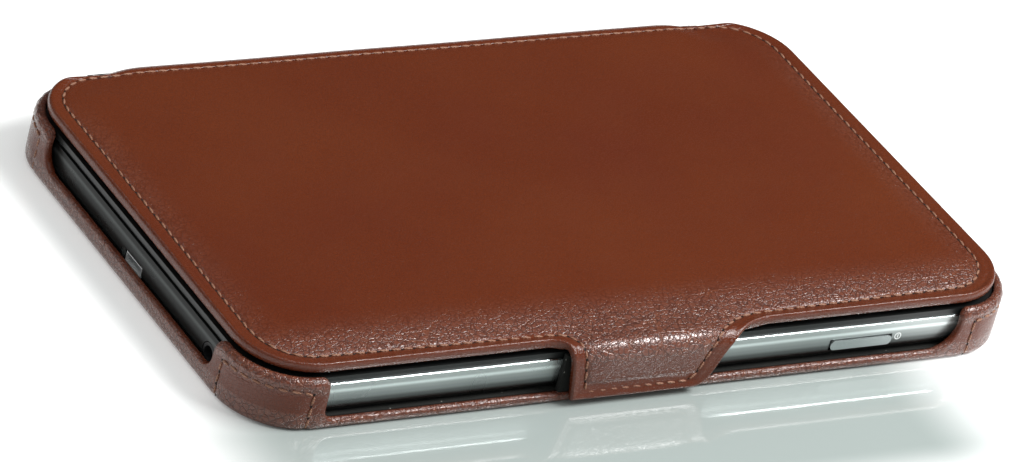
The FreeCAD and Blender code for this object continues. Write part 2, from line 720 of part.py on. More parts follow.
def electronics():
    """The circuit board and its shields, the battery, the speaker, the aerial and the flexes."""
    board = box(size.board_length, BOARD_WIDTH, size.board_thickness, BOARD_X, "0",
                BOARD_BASE, "board")
    notch = box(f"2 * {size.jack_depth}", f"{size.jack_body} + 2 * {size.part_gap}",
                f"{size.board_thickness} + 2 * {OVERRUN}", f"-{INSIDE_END}", JACK_Y,
                f"{BOARD_BASE} - {OVERRUN}", "jack_notch")
    finish(cut(board, [notch], "main_board"), "main_board")
    cans = [box(size.can_length, size.can_width, size.can_height, BOARD_X, y, BOARD_TOP, "can")
            for y in (size.front_can_y, size.rear_can_y)]
    finish(grouped(cans, "cans"), "shield_cans")
    finish(box(BATTERY_LENGTH, BATTERY_WIDTH, size.battery_thickness,
               f"{BATTERY_START} + {BATTERY_LENGTH} / 2", "0", CAVITY_BASE, "battery"), "battery")
    speaker_x = f"{INSIDE_END} - {size.speaker_end_gap} - {size.speaker_length} / 2"
    finish(box(size.speaker_length, size.speaker_width, size.speaker_height, speaker_x,
               size.speaker_y, CAVITY_BASE, "speaker"), "speaker")
    aerial_x = f"{INSIDE_END} - {size.aerial_end_gap} - {size.aerial_length} / 2"
    aerial_y = f"{INSIDE_SIDE} - {size.aerial_side_gap} - {size.aerial_width} / 2"
    finish(box(size.aerial_length, size.aerial_width, size.aerial_thickness, aerial_x, aerial_y,
               CAVITY_BASE, "antenna"), "wifi_antenna")
    thin, wide, reach = size.flex_thickness, size.flex_width, size.flex_reach
    rise = f"({CHASSIS_TOP} + {thin} - {BOARD_TOP})"
    y = size.flex_y
    runs = [box(reach, wide, thin, f"{FLEX_X} - ({reach} - {thin}) / 2", y, BOARD_TOP, "flex"),
            box(thin, wide, rise, FLEX_X, y, BOARD_TOP, "flex"),
            box(reach, wide, thin, f"{FLEX_X} + ({reach} - {thin}) / 2", y, CHASSIS_TOP, "flex")]
    finish(joined(runs, "display_flex"), "display_flex")
    key_flex_y = f"-({SWITCH_FACE_Y} - {size.switch_depth} - {size.key_flex_thickness} / 2)"
    finish(box(f"{POWER_X} - {BOARD_X}", size.key_flex_thickness, size.key_height,
               f"({POWER_X} + {BOARD_X}) / 2", key_flex_y,
               f"{PANEL_TOP} + {size.key_rise} - {size.key_height} / 2", "key_flex"), "key_flex")


def sockets():
    """The micro-USB socket, the headphone socket, the charging light and the microphone."""
    usb_z = f"{PANEL_TOP} + {USB_RISE} - {size.usb_height} / 2"
    usb_x = f"(-{DEVICE_END} + {size.usb_recess} + {size.usb_depth} / 2)"
    can = box(size.usb_depth, size.usb_width, size.usb_height, usb_x, "0", usb_z, "usb")
    inner = box(f"{size.usb_depth} - {size.usb_wall}", f"{size.usb_width} - 2 * {size.usb_wall}",
                f"{size.usb_height} - 2 * {size.usb_wall}", f"{usb_x} - {size.usb_wall}", "0",
                f"{usb_z} + {size.usb_wall}", "usb_hollow")
    tongue = box(f"{size.usb_depth} - {size.usb_tongue_recess}",
                 f"{size.usb_width} - 2 * {size.usb_tongue_side}", size.usb_tongue,
                 f"{usb_x} + {size.usb_tongue_recess} / 2", "0",
                 f"{usb_z} + {size.usb_height} / 2", "usb_tongue")
    finish(joined([cut(can, [inner], "usb"), tongue], "usb"), "micro_usb_socket")
    jack_z = f"{PANEL_TOP} + {size.jack_rise}"
    recessed = f"-{DEVICE_END} + {size.end_recess}"
    collar = rod(size.jack_collar, f"{size.shell_wall} + {size.part_gap}", recessed, JACK_Y,
                 jack_z, ALONG_X, "jack_collar")
    body = box(f"{size.jack_depth} - {size.shell_wall}", size.jack_body, size.jack_height,
               f"-{INSIDE_END} + {size.part_gap} + ({size.jack_depth} - {size.shell_wall}) / 2",
               JACK_Y, f"{jack_z} - {size.jack_height} / 2", "jack_body")
    bore = rod(size.jack_radius, size.jack_depth, f"-{DEVICE_END} - {OVERRUN}", JACK_Y, jack_z,
               ALONG_X, "jack_bore")
    finish(cut(joined([collar, body], "jack"), [bore], "headphone_socket"), "headphone_socket")
    finish(rod(size.light_radius, size.shell_wall, recessed, size.light_y,
               f"{PANEL_TOP} + {size.light_rise}", ALONG_X, "light"), "charge_light")
    finish(box(size.microphone_depth, size.microphone_width, size.microphone_height,
               f"-{INSIDE_END} + {size.microphone_wall_gap} + {size.microphone_depth} / 2",
               MICROPHONE_Y, f"{PANEL_TOP} + {size.microphone_rise} - {size.microphone_height} / 2",
               "microphone"), "microphone")


POWER_FACE = f"({INSIDE_SIDE} - {size.key_wall_gap})"
ROCKER_FACE = f"({INSIDE_END} - {size.rocker_wall_gap})"
SWITCH_FACE_Y = (f"({POWER_FACE} - {size.key_flange_thickness} - {size.key_travel}"
                 f" - {size.power_switch_gap})")
SWITCH_FACE_X = f"({ROCKER_FACE} - {size.key_flange_thickness} - {size.volume_switch_gap})"


def keys():
    """The power key on the front side and the volume rocker on the top end, with their switches."""
    middle = f"{PANEL_TOP} + {size.key_rise}"
    radius = f"({size.key_height} / 2 - {size.key_end_flat})"
    power = new_body("power_button", x=POWER_X, z=middle)
    cap = new_sketch(power, "power_cap", "XZ_Plane", POWER_FACE)
    rounded_loop(cap, size.power_length, size.key_height, radius)
    pad(power, cap, f"{DEVICE_SIDE} + {size.key_proud} - {POWER_FACE}")
    flange = new_sketch(power, "power_flange", "XZ_Plane", POWER_FACE)
    rounded_loop(flange, f"({size.power_length} + 2 * {size.key_flange})",
                 f"({size.key_height} + 2 * {size.key_flange})", size.key_flange_corner)
    pad(power, flange, size.key_flange_thickness, reverse=True)
    finish(box(size.switch_width, size.switch_depth, size.key_height, POWER_X,
               f"-({SWITCH_FACE_Y} - {size.switch_depth} / 2)",
               f"{middle} - {size.key_height} / 2", "power_switch"), "power_switch")
    rocker = new_body("volume_rocker", y=VOLUME_Y, z=middle)
    cap = new_sketch(rocker, "volume_cap", "YZ_Plane", ROCKER_FACE)
    rounded_loop(cap, size.volume_length, size.key_height, radius)
    pad(rocker, cap, f"{DEVICE_END} + {size.key_proud} - {ROCKER_FACE}")
    flange = new_sketch(rocker, "volume_flange", "YZ_Plane", ROCKER_FACE)
    rounded_loop(flange, f"({size.volume_length} + 2 * {size.key_flange})",
                 f"({size.key_height} + 2 * {size.key_flange})", size.key_flange_corner)
    pad(rocker, flange, size.key_flange_thickness, reverse=True)
    switches = [box(size.switch_depth, size.switch_width, size.key_height,
                    f"{SWITCH_FACE_X} - {size.switch_depth} / 2",
                    f"{VOLUME_Y} {side} {size.volume_length} / 3",
                    f"{middle} - {size.key_height} / 2", "volume_switch") for side in "-+"]
    finish(grouped(switches, "volume_switches"), "volume_switches")


# ---------------------------------------------------------------- assembly and export

back_panel()
for depth_name, depth_side in (("front", -1), ("rear", 1)):
    for end_name, end_side in (("left", -1), ("right", 1)):
        corner_pocket(f"{depth_name}_{end_name}_pocket", end_side, depth_side)
front_clip()
spine()
cover()
tab()
back_shell()
casing_rings()
display()
chassis_screws()
electronics()
sockets()
keys()
doc.recompute()


def check_document():
    """Stops before anything is written if an object has failed or a piece is not a good solid."""
    for item in doc.Objects:
        if {"Invalid", "Error"} & set(item.State):
            raise ValueError(f"{item.Label} has failed: {item.State}")
    for item in finished:
        if item.Shape.isNull() or not item.Shape.isValid() or not item.Shape.Solids:
            raise ValueError(f"{item.Label} is not a valid solid")


check_document()
os.makedirs("parts", exist_ok=True)
for item in finished:
    item.Shape.exportStep(f"parts/{item.Label}.step")
print(len(finished), "parts written")
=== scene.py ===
import math

import bmesh
import bpy
import numpy
from mathutils import Matrix, Vector


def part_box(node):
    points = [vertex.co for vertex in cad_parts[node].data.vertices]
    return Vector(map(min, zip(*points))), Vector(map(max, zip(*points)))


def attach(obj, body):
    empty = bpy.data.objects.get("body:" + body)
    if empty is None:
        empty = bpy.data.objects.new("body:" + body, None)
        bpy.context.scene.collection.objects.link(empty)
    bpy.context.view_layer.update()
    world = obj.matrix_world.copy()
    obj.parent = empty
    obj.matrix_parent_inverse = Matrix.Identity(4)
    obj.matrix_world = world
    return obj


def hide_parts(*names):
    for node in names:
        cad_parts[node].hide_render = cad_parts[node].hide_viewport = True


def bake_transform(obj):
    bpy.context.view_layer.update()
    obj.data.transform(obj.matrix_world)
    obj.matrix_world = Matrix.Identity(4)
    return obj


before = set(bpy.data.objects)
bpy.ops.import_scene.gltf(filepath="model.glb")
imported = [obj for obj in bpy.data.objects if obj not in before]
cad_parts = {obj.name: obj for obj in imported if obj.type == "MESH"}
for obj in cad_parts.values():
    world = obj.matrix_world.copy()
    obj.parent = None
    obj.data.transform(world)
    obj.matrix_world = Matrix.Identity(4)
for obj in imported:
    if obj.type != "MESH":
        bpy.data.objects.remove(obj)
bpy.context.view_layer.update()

# ---------------------------------------------------------------- reader: board, battery, speaker
# The working parts sit inside the casing on the underside of a pressed chassis plate.
# Each is bought in or stamped: green circuit board, tinned cans, foil-wrapped cell, black foam.


def add_node(tree, kind, settings=None, sockets=None):
    node = tree.nodes.new("ShaderNode" + kind)
    for name, value in (settings or {}).items():
        setattr(node, name, value)
    for name, value in (sockets or {}).items():
        if isinstance(value, bpy.types.NodeSocket):
            tree.links.new(value, node.inputs[name])
        else:
            node.inputs[name].default_value = value
    return node


def new_group(name, inputs, outputs):
    group = bpy.data.node_groups.new(name, "ShaderNodeTree")
    for label, kind, value in inputs:
        socket = group.interface.new_socket(label, in_out="INPUT", socket_type="NodeSocket" + kind)
        socket.default_value = value
    for label, kind in outputs:
        group.interface.new_socket(label, in_out="OUTPUT", socket_type="NodeSocket" + kind)
    return group, group.nodes.new("NodeGroupInput"), group.nodes.new("NodeGroupOutput")


def use_group(tree, group, sockets):
    node = tree.nodes.new("ShaderNodeGroup")
    node.node_tree = group
    for name, value in sockets.items():
        if isinstance(value, bpy.types.NodeSocket):
            tree.links.new(value, node.inputs[name])
        else:
            node.inputs[name].default_value = value
    return node


def make_skin_group():
    """Fine speckle and slow blotches, as on any moulded, plated or painted face."""
    inputs = [
        ("Place", "Vector", (0.0, 0.0, 0.0)),
        ("Light", "Color", (0.8, 0.8, 0.8, 1.0)),
        ("Dark", "Color", (0.5, 0.5, 0.5, 1.0)),
        ("Grain", "Float", 1500.0),
        ("Roughness", "Float", 0.5),
    ]
    outputs = [("Colour", "Color"), ("Roughness", "Float"), ("Height", "Float")]
    group, given, result = new_group("moulded_skin", inputs, outputs)
    place = given.outputs["Place"]
    grain = add_node(group, "TexNoise", None, {
        "Vector": place, "Scale": given.outputs["Grain"], "Detail": 3.0})
    blotch = add_node(group, "TexNoise", None, {"Vector": place, "Scale": 45.0, "Detail": 2.0})
    blend = add_node(group, "Math", {"operation": "MULTIPLY_ADD"}, {
        0: grain.outputs["Fac"], 1: 0.45, 2: blotch.outputs["Fac"]})
    share = add_node(group, "MapRange", None, {"Value": blend.outputs[0], "From Min": 0.45, "From Max": 1.0})
    colour = add_node(group, "Mix", {"data_type": "RGBA"}, {
        "Factor": share.outputs[0], 6: given.outputs["Dark"], 7: given.outputs["Light"]})
    rough = add_node(group, "Math", {"operation": "MULTIPLY_ADD"}, {
        0: blotch.outputs["Fac"], 1: 0.12, 2: given.outputs["Roughness"]})
    group.links.new(colour.outputs[2], result.inputs["Colour"])
    group.links.new(rough.outputs[0], result.inputs["Roughness"])
    group.links.new(grain.outputs["Fac"], result.inputs["Height"])
    return group


moulded_skin = make_skin_group()


def new_material(name):
    material = bpy.data.materials.new(name)
    material.use_nodes = True
    return material, material.node_tree, material.node_tree.nodes["Principled BSDF"]


def moulded(name, light, dark, roughness, metallic=0.0, grain=1500.0, relief=0.15, coat=0.0):
    material, tree, shader = new_material(name)
    place = add_node(tree, "TexCoord").outputs["Object"]
    skin = use_group(tree, moulded_skin, {
        "Place": place, "Light": (*light, 1.0), "Dark": (*dark, 1.0),
        "Grain": grain, "Roughness": roughness})
    bump = add_node(tree, "Bump", None, {
        "Strength": relief, "Distance": 0.00005, "Height": skin.outputs["Height"]})
    tree.links.new(skin.outputs["Colour"], shader.inputs["Base Color"])
    tree.links.new(skin.outputs["Roughness"], shader.inputs["Roughness"])
    tree.links.new(bump.outputs[0], shader.inputs["Normal"])
    shader.inputs["Metallic"].default_value = metallic
    shader.inputs["Coat Weight"].default_value = coat
    shader.inputs["Coat Roughness"].default_value = 0.04
    return material


def dress(material, *names):
    for name in names:
        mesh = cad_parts[name].data
        mesh.materials.clear()
        mesh.materials.append(material)


dress(moulded("solder_mask_green", (0.02, 0.11, 0.05), (0.01, 0.06, 0.03), 0.35), "main_board")
dress(moulded("tinned_can", (0.62, 0.63, 0.62), (0.45, 0.46, 0.46), 0.3, metallic=1.0), "shield_cans")
dress(moulded("foil_wrapped_cell", (0.06, 0.06, 0.065), (0.03, 0.03, 0.03), 0.45, metallic=0.2), "battery")
dress(moulded("speaker_case", (0.035, 0.035, 0.035), (0.015, 0.015, 0.015), 0.6), "speaker")
dress(moulded("amber_film", (0.42, 0.19, 0.03), (0.3, 0.12, 0.02), 0.3),
      "display_flex", "key_flex", "wifi_antenna")
dress(moulded("pressed_aluminium", (0.58, 0.59, 0.6), (0.42, 0.43, 0.44), 0.38, metallic=1.0),
      "chassis_plate")
dress(moulded("black_screw_steel", (0.09, 0.09, 0.09), (0.04, 0.04, 0.04), 0.35, metallic=1.0),
      "chassis_screws")
dress(moulded("socket_shell_steel", (0.86, 0.87, 0.87), (0.7, 0.71, 0.72), 0.4, metallic=0.5),
      "micro_usb_socket")
dress(moulded("socket_nylon", (0.02, 0.02, 0.022), (0.008, 0.008, 0.009), 0.4),
      "headphone_socket", "microphone")
dress(moulded("switch_case", (0.09, 0.09, 0.09), (0.03, 0.03, 0.03), 0.45),
      "power_switch", "volume_switches")
dress(moulded("foam_strip", (0.05, 0.05, 0.05), (0.02, 0.02, 0.02), 0.9, grain=3000.0, relief=0.6),
      "display_foam", "lens_tape")
dress(moulded("clear_light_pipe", (0.05, 0.06, 0.06), (0.02, 0.025, 0.025), 0.12, coat=0.5), "charge_light")

# ---------------------------------------------------------------- reader: casing, trim, bezel, screen
# Its tones are painted reflection: a dark foot, a pale highlight band high on the side and dark ends.
# The back is one moulding in grey metallic paint, with a plated line where it meets the black bezel.
# The display and its clear glass drop in from above, and the keys press through slots.

# The standby sign printed beside the power key, in metres. Its bar is a share of its radius.
SIGN_X = 0.0683
SIGN_Z = 0.0064
SIGN_RADIUS = 0.0008
SIGN_LINE = 0.00014
SIGN_BAR = 0.6
SIGN_REACH = 0.01


def painted_reflection_ramp(tree, place_z, low, high, stops):
    """Painted reflection tones from a side's foot to its top, in place of what its curve would pick up."""
    rise = add_node(tree, "MapRange", None, {"Value": place_z, "From Min": low, "From Max": high})
    ramp = add_node(tree, "ValToRGB", None, {"Fac": rise.outputs[0]})
    ramp.color_ramp.interpolation = "EASE"
    while len(ramp.color_ramp.elements) < len(stops):
        ramp.color_ramp.elements.new(0.5)
    for element, (position, tone) in zip(ramp.color_ramp.elements, stops):
        element.position = position
        element.color = (tone * 0.92, tone, tone * 0.99, 1.0)
    return ramp.outputs["Color"]


def banded(name, side_stops, end_stops, low, high, roughness, metallic):
    """A side painted with one set of reflection tones along the reader and another at its ends."""
    material = moulded(
        name, (1.0, 1.0, 1.0), (0.92, 0.92, 0.92), roughness, metallic, grain=5000.0, relief=0.04)
    tree = material.node_tree
    shader = tree.nodes["Principled BSDF"]
    flake = shader.inputs["Base Color"].links[0].from_socket
    place = add_node(tree, "TexCoord").outputs["Object"]
    parts = add_node(tree, "SeparateXYZ", None, {0: place})
    side_tone = painted_reflection_ramp(tree, parts.outputs["Z"], low, high, side_stops)
    end_tone = painted_reflection_ramp(tree, parts.outputs["Z"], low, high, end_stops)
    reach = add_node(tree, "Math", {"operation": "ABSOLUTE"}, {0: parts.outputs["X"]})
    ends = add_node(tree, "MapRange", {"interpolation_type": "SMOOTHSTEP"}, {
        "Value": reach.outputs[0], "From Min": READER_END - 0.0040, "From Max": READER_END - 0.0006})
    toned = add_node(tree, "Mix", {"data_type": "RGBA"}, {
        "Factor": ends.outputs[0], 6: side_tone, 7: end_tone})
    flaked = add_node(tree, "Mix", {"data_type": "RGBA", "blend_type": "MULTIPLY"}, {
        "Factor": 1.0, 6: toned.outputs[2], 7: flake})
    tree.links.new(flaked.outputs[2], shader.inputs["Base Color"])
    return material


def print_power_symbol(material, centre):
    """A plain standby sign, a ring and a bar, printed on the side that carries the power key."""
    tree = material.node_tree
    shader = tree.nodes["Principled BSDF"]
    paint = shader.inputs["Base Color"].links[0].from_socket
    place = add_node(tree, "TexCoord").outputs["Object"]
    shifted = add_node(tree, "VectorMath", {"operation": "SUBTRACT"}, {0: place, 1: centre})
    flat = add_node(tree, "VectorMath", {"operation": "MULTIPLY"}, {
        0: shifted.outputs[0], 1: (1.0, 0.0, 1.0)})
    radius = add_node(tree, "VectorMath", {"operation": "LENGTH"}, {0: flat.outputs[0]})
    parts = add_node(tree, "SeparateXYZ", None, {0: shifted.outputs[0]})

    def calculate(operation, first, second):
        return add_node(tree, "Math", {"operation": operation}, {0: first, 1: second}).outputs[0]

    off_ring = calculate("SUBTRACT", radius.outputs["Value"], SIGN_RADIUS)
    ring = calculate("LESS_THAN", calculate("ABSOLUTE", off_ring, 0.0), SIGN_LINE)
    slim = calculate("LESS_THAN", calculate("ABSOLUTE", parts.outputs["X"], 0.0), SIGN_LINE)
    short = calculate("LESS_THAN", radius.outputs["Value"], SIGN_RADIUS * SIGN_BAR)
    mark = calculate("MAXIMUM", ring, calculate("MULTIPLY", slim, short))
    near = calculate("LESS_THAN", parts.outputs["Y"], SIGN_REACH)
    printed = calculate("MULTIPLY", mark, near)
    colour = add_node(tree, "Mix", {"data_type": "RGBA"}, {
        "Factor": printed, 6: paint, 7: (0.85, 0.87, 0.86, 1.0)})
    tree.links.new(colour.outputs[2], shader.inputs["Base Color"])


def domed(material, lift):
    """Light runs along a narrow face as if it were rounded upwards."""
    tree = material.node_tree
    shader = tree.nodes["Principled BSDF"]
    face = add_node(tree, "TexCoord").outputs["Normal"]
    raised = add_node(tree, "VectorMath", {"operation": "ADD"}, {0: face, 1: (0.0, 0.0, lift)})
    unit = add_node(tree, "VectorMath", {"operation": "NORMALIZE"}, {0: raised.outputs[0]})
    tree.links.new(unit.outputs[0], shader.inputs["Normal"])
    return material


READER_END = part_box("back_shell")[1].x
shell_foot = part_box("back_shell")[0].z
shell_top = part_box("back_shell")[1].z
# Painted reflection and highlight: a dark foot and a pale band high on the side. The ends are painted
# darker.
side_painted_reflections = [
    (0.0, 0.02), (0.27, 0.03), (0.40, 0.13), (0.53, 0.33), (0.68, 0.44), (0.79, 1.0), (0.87, 0.55),
    (1.0, 0.6)]
end_painted_reflections = [
    (0.0, 0.10), (0.27, 0.09), (0.42, 0.035), (0.66, 0.035), (0.79, 0.09), (0.88, 0.015), (1.0, 0.01)]
paint = banded("grey_metallic_paint", side_painted_reflections, end_painted_reflections, shell_foot, shell_top,
               roughness=0.22, metallic=0.75)
print_power_symbol(paint, (SIGN_X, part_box("back_shell")[0].y, SIGN_Z))
dress(paint, "back_shell")
# The trim's dark ends are painted reflection.
trim = banded("plated_trim", [(0.0, 0.95), (1.0, 0.95)], [(0.0, 0.03), (1.0, 0.03)],
              low=0.0, high=1.0, roughness=0.2, metallic=1.0)
dress(domed(trim, lift=0.9), "chrome_trim")
dress(moulded("gloss_black", (0.014, 0.015, 0.015), (0.008, 0.009, 0.009), 0.26,
              grain=800.0, relief=0.02), "front_bezel")
glass = moulded("screen_glass", (0.5, 0.52, 0.52), (0.4, 0.42, 0.42), 0.25, grain=900.0, relief=0.02)
glass.node_tree.nodes["Principled BSDF"].inputs["Alpha"].default_value = 0.12
dress(glass, "screen_lens")
dress(moulded("paper_grey_display", (0.56, 0.57, 0.53), (0.5, 0.51, 0.47), 0.7,
              grain=6000.0, relief=0.1), "display_panel")
dress(moulded("satin_silver_key", (0.50, 0.54, 0.54), (0.40, 0.44, 0.44), 0.24,
              metallic=0.9, grain=4000.0, relief=0.05), "power_button", "volume_rocker")

# ---------------------------------------------------------------- case: boards, padding, suede linings
# Card stiffens the back and the cover. Black suede lines what faces the reader, and is wrapped
# round the spine's card. Lint clings to it as fine pale specks.


def suede(name):
    material, tree, shader = new_material(name)
    place = add_node(tree, "TexCoord").outputs["Object"]
    nap = add_node(tree, "TexNoise", None, {
        "Vector": place, "Scale": 2600.0, "Detail": 4.0, "Roughness": 0.7})
    rubbed = add_node(tree, "TexNoise", None, {"Vector": place, "Scale": 70.0, "Detail": 3.0})
    tone = add_node(tree, "Mix", {"data_type": "RGBA"}, {
        "Factor": rubbed.outputs["Fac"], 6: (0.004, 0.005, 0.004, 1.0), 7: (0.016, 0.016, 0.014, 1.0)})
    fleck = add_node(tree, "TexVoronoi", None, {"Vector": place, "Scale": 420.0, "Randomness": 1.0})
    lint = add_node(tree, "Math", {"operation": "LESS_THAN"}, {0: fleck.outputs["Distance"], 1: 0.07})
    colour = add_node(tree, "Mix", {"data_type": "RGBA"}, {
        "Factor": lint.outputs[0], 6: tone.outputs[2], 7: (0.30, 0.29, 0.26, 1.0)})
    bump = add_node(tree, "Bump", None, {"Strength": 0.7, "Distance": 0.00015, "Height": nap.outputs["Fac"]})
    tree.links.new(colour.outputs[2], shader.inputs["Base Color"])
    tree.links.new(bump.outputs[0], shader.inputs["Normal"])
    shader.inputs["Roughness"].default_value = 0.95
    shader.inputs["Sheen Weight"].default_value = 0.12
    shader.inputs["Specular IOR Level"].default_value = 0.15
    return material


dress(suede("black_suede"), "cover_lining", "back_panel_lining", "tab_lining", "front_clip_wall",
      "spine_board")
dress(moulded("grey_card", (0.36, 0.33, 0.28), (0.27, 0.25, 0.21), 0.85, grain=2500.0, relief=0.5),
      "back_panel_board", "cover_board")
dress(moulded("spring_steel", (0.5, 0.51, 0.52), (0.36, 0.37, 0.38), 0.3, metallic=1.0), "clip_plate")
dress(moulded("nickel_magnet", (0.66, 0.65, 0.62), (0.5, 0.49, 0.47), 0.22, metallic=1.0), "tab_magnets")

# ---------------------------------------------------------------- case: tray leather and pockets
# The tray is one piece of leather drawn up round the back board. It stands up as a pocket at each
# corner, with long windows cut between them, and every raw edge is turned over a filler and sewn.

MM = 0.001
ROLL_SHAPE = 2.5
EDGE_RINGS = (0.08, 0.17, 0.25, 0.3, 0.4)


def rounded_outline(corners, spacing):
    """A closed outline from corners (x, y, radius), each round one as an arc.
    Straights are divided too, unless they meet a sharp corner, where insets would cross."""
    points = []
    sharp = []
    for index, (x, y, radius) in enumerate(corners):
        here = Vector((x, y))
        back = (Vector(corners[index - 1][:2]) - here).normalized()
        ahead = (Vector(corners[(index + 1) % len(corners)][:2]) - here).normalized()
        if not radius:
            points.append(here)
            sharp.append(here)
            continue
        half = back.angle(ahead) / 2
        reach = radius / math.tan(half)
        centre = here + (back + ahead).normalized() * (radius / math.sin(half))
        start = here + back * reach - centre
        swing = start.angle_signed(here + ahead * reach - centre)
        steps = max(4, round(abs(swing) * max(radius, 2.0) / spacing))
        for step in range(steps + 1):
            turned = start.copy()
            turned.rotate(Matrix.Rotation(-swing * step / steps, 2))
            points.append(centre + turned)
    divided = []
    for here, ahead in zip(points, points[1:] + points[:1]):
        whole = here in sharp or ahead in sharp
        count = 1 if whole else max(1, round((ahead - here).length / (1.6 * spacing)))
        divided += [here.lerp(ahead, step / count) for step in range(count)]
    return [(point.x, point.y) for point in divided]


def distance_to(points, line, closed):
    """How far each point is from a line of straight pieces."""
    points = numpy.asarray(points, float)[:, :2]
    starts = numpy.array(line, float)
    ends = numpy.roll(starts, -1, axis=0)
    if not closed:
        starts, ends = starts[:-1], ends[:-1]
    nearest = numpy.full(len(points), 1e9)
    for start, end in zip(starts, ends):
        run = end - start
        share = numpy.clip((points - start) @ run / (run @ run), 0, 1)
        gap = points - start - share[:, None] * run
        nearest = numpy.minimum(nearest, numpy.hypot(gap[:, 0], gap[:, 1]))
    return nearest


def smooth_rise(values, low, high):
    share = numpy.clip((values - low) / (high - low), 0, 1)
    return share * share * (3 - 2 * share)


def rolled(distance, radius):
    """How far the face sinks towards a turned edge of that radius."""
    share = numpy.clip(1 - distance / radius, 0, 1)
    return radius * (1 - (1 - share**ROLL_SHAPE) ** (1 / ROLL_SHAPE))


def follow(start, heading, pieces, distance):
    """Places and left-hand normals along a route of (length, radius) pieces; radius 0 is straight."""
    places = numpy.zeros((len(distance), 2))
    normals = numpy.zeros((len(distance), 2))
    here = numpy.array(start, float)
    reached = 0.0
    for number, (length, radius) in enumerate(pieces):
        inside = distance >= reached if number else numpy.ones(len(distance), bool)
        part = distance[inside] - reached
        left = numpy.array((-math.sin(heading), math.cos(heading)))
        if radius:
            centre = here + radius * left
            angles = heading + part / radius
            normals[inside] = numpy.column_stack((-numpy.sin(angles), numpy.cos(angles)))
            places[inside] = centre - radius * normals[inside]
            heading += length / radius
            here = centre - radius * numpy.array((-math.sin(heading), math.cos(heading)))
        else:
            along = numpy.array((math.cos(heading), math.sin(heading)))
            normals[inside] = left
            places[inside] = here + part[:, None] * along
            here = here + length * along
        reached += length
    return places, normals


def cut_sheet(outline, rings, cuts, through):
    """A flat sheet in mm, front and back, with rings along its edge. It is cut across at the given
    x and y, inside the rings or, for the second pair, right through them."""
    mesh = bmesh.new()
    face = mesh.faces.new([mesh.verts.new((x, y, 0)) for x, y in outline])
    face.normal_update()
    if face.normal.z < 0:
        face.normal_flip()
    for width in rings:
        bmesh.ops.inset_region(mesh, faces=[face], thickness=width, use_even_offset=True, use_boundary=True)
    inner = [face, *face.edges, *face.verts]
    for places, whole in ((cuts, False), (through, True)):
        for axis, marks in enumerate(places):
            for mark in marks:
                geometry = mesh.verts[:] + mesh.edges[:] + mesh.faces[:] if whole else inner
                point = Vector((mark, 0, 0)) if axis == 0 else Vector((0, mark, 0))
                normal = Vector((1, 0, 0)) if axis == 0 else Vector((0, 1, 0))
                inner = bmesh.ops.bisect_plane(
                    mesh, geom=geometry, dist=1e-4, plane_co=point, plane_no=normal)["geom"]
    side = mesh.verts.layers.int.new("side")
    geometry = mesh.verts[:] + mesh.edges[:] + mesh.faces[:]
    copied = bmesh.ops.duplicate(mesh, geom=geometry)["geom"]
    bmesh.ops.reverse_faces(mesh, faces=[item for item in copied if isinstance(item, bmesh.types.BMFace)])
    for item in copied:
        if isinstance(item, bmesh.types.BMVert):
            item[side] = 1
    return mesh


def steps(low, high, size):
    count = max(1, round((high - low) / size))
    return [low + (high - low) * number / count for number in range(count + 1)]


def finish_piece(name, mesh, *materials):
    """Scales a mesh from mm, smooths it and makes it an object."""
    bmesh.ops.scale(mesh, vec=(MM, MM, MM), verts=mesh.verts)
    for face in mesh.faces:
        face.smooth = True
    data = bpy.data.meshes.new(name)
    mesh.to_mesh(data)
    mesh.free()
    piece = bpy.data.objects.new(name, data)
    bpy.context.scene.collection.objects.link(piece)
    for material in materials:
        data.materials.append(material)
    return piece


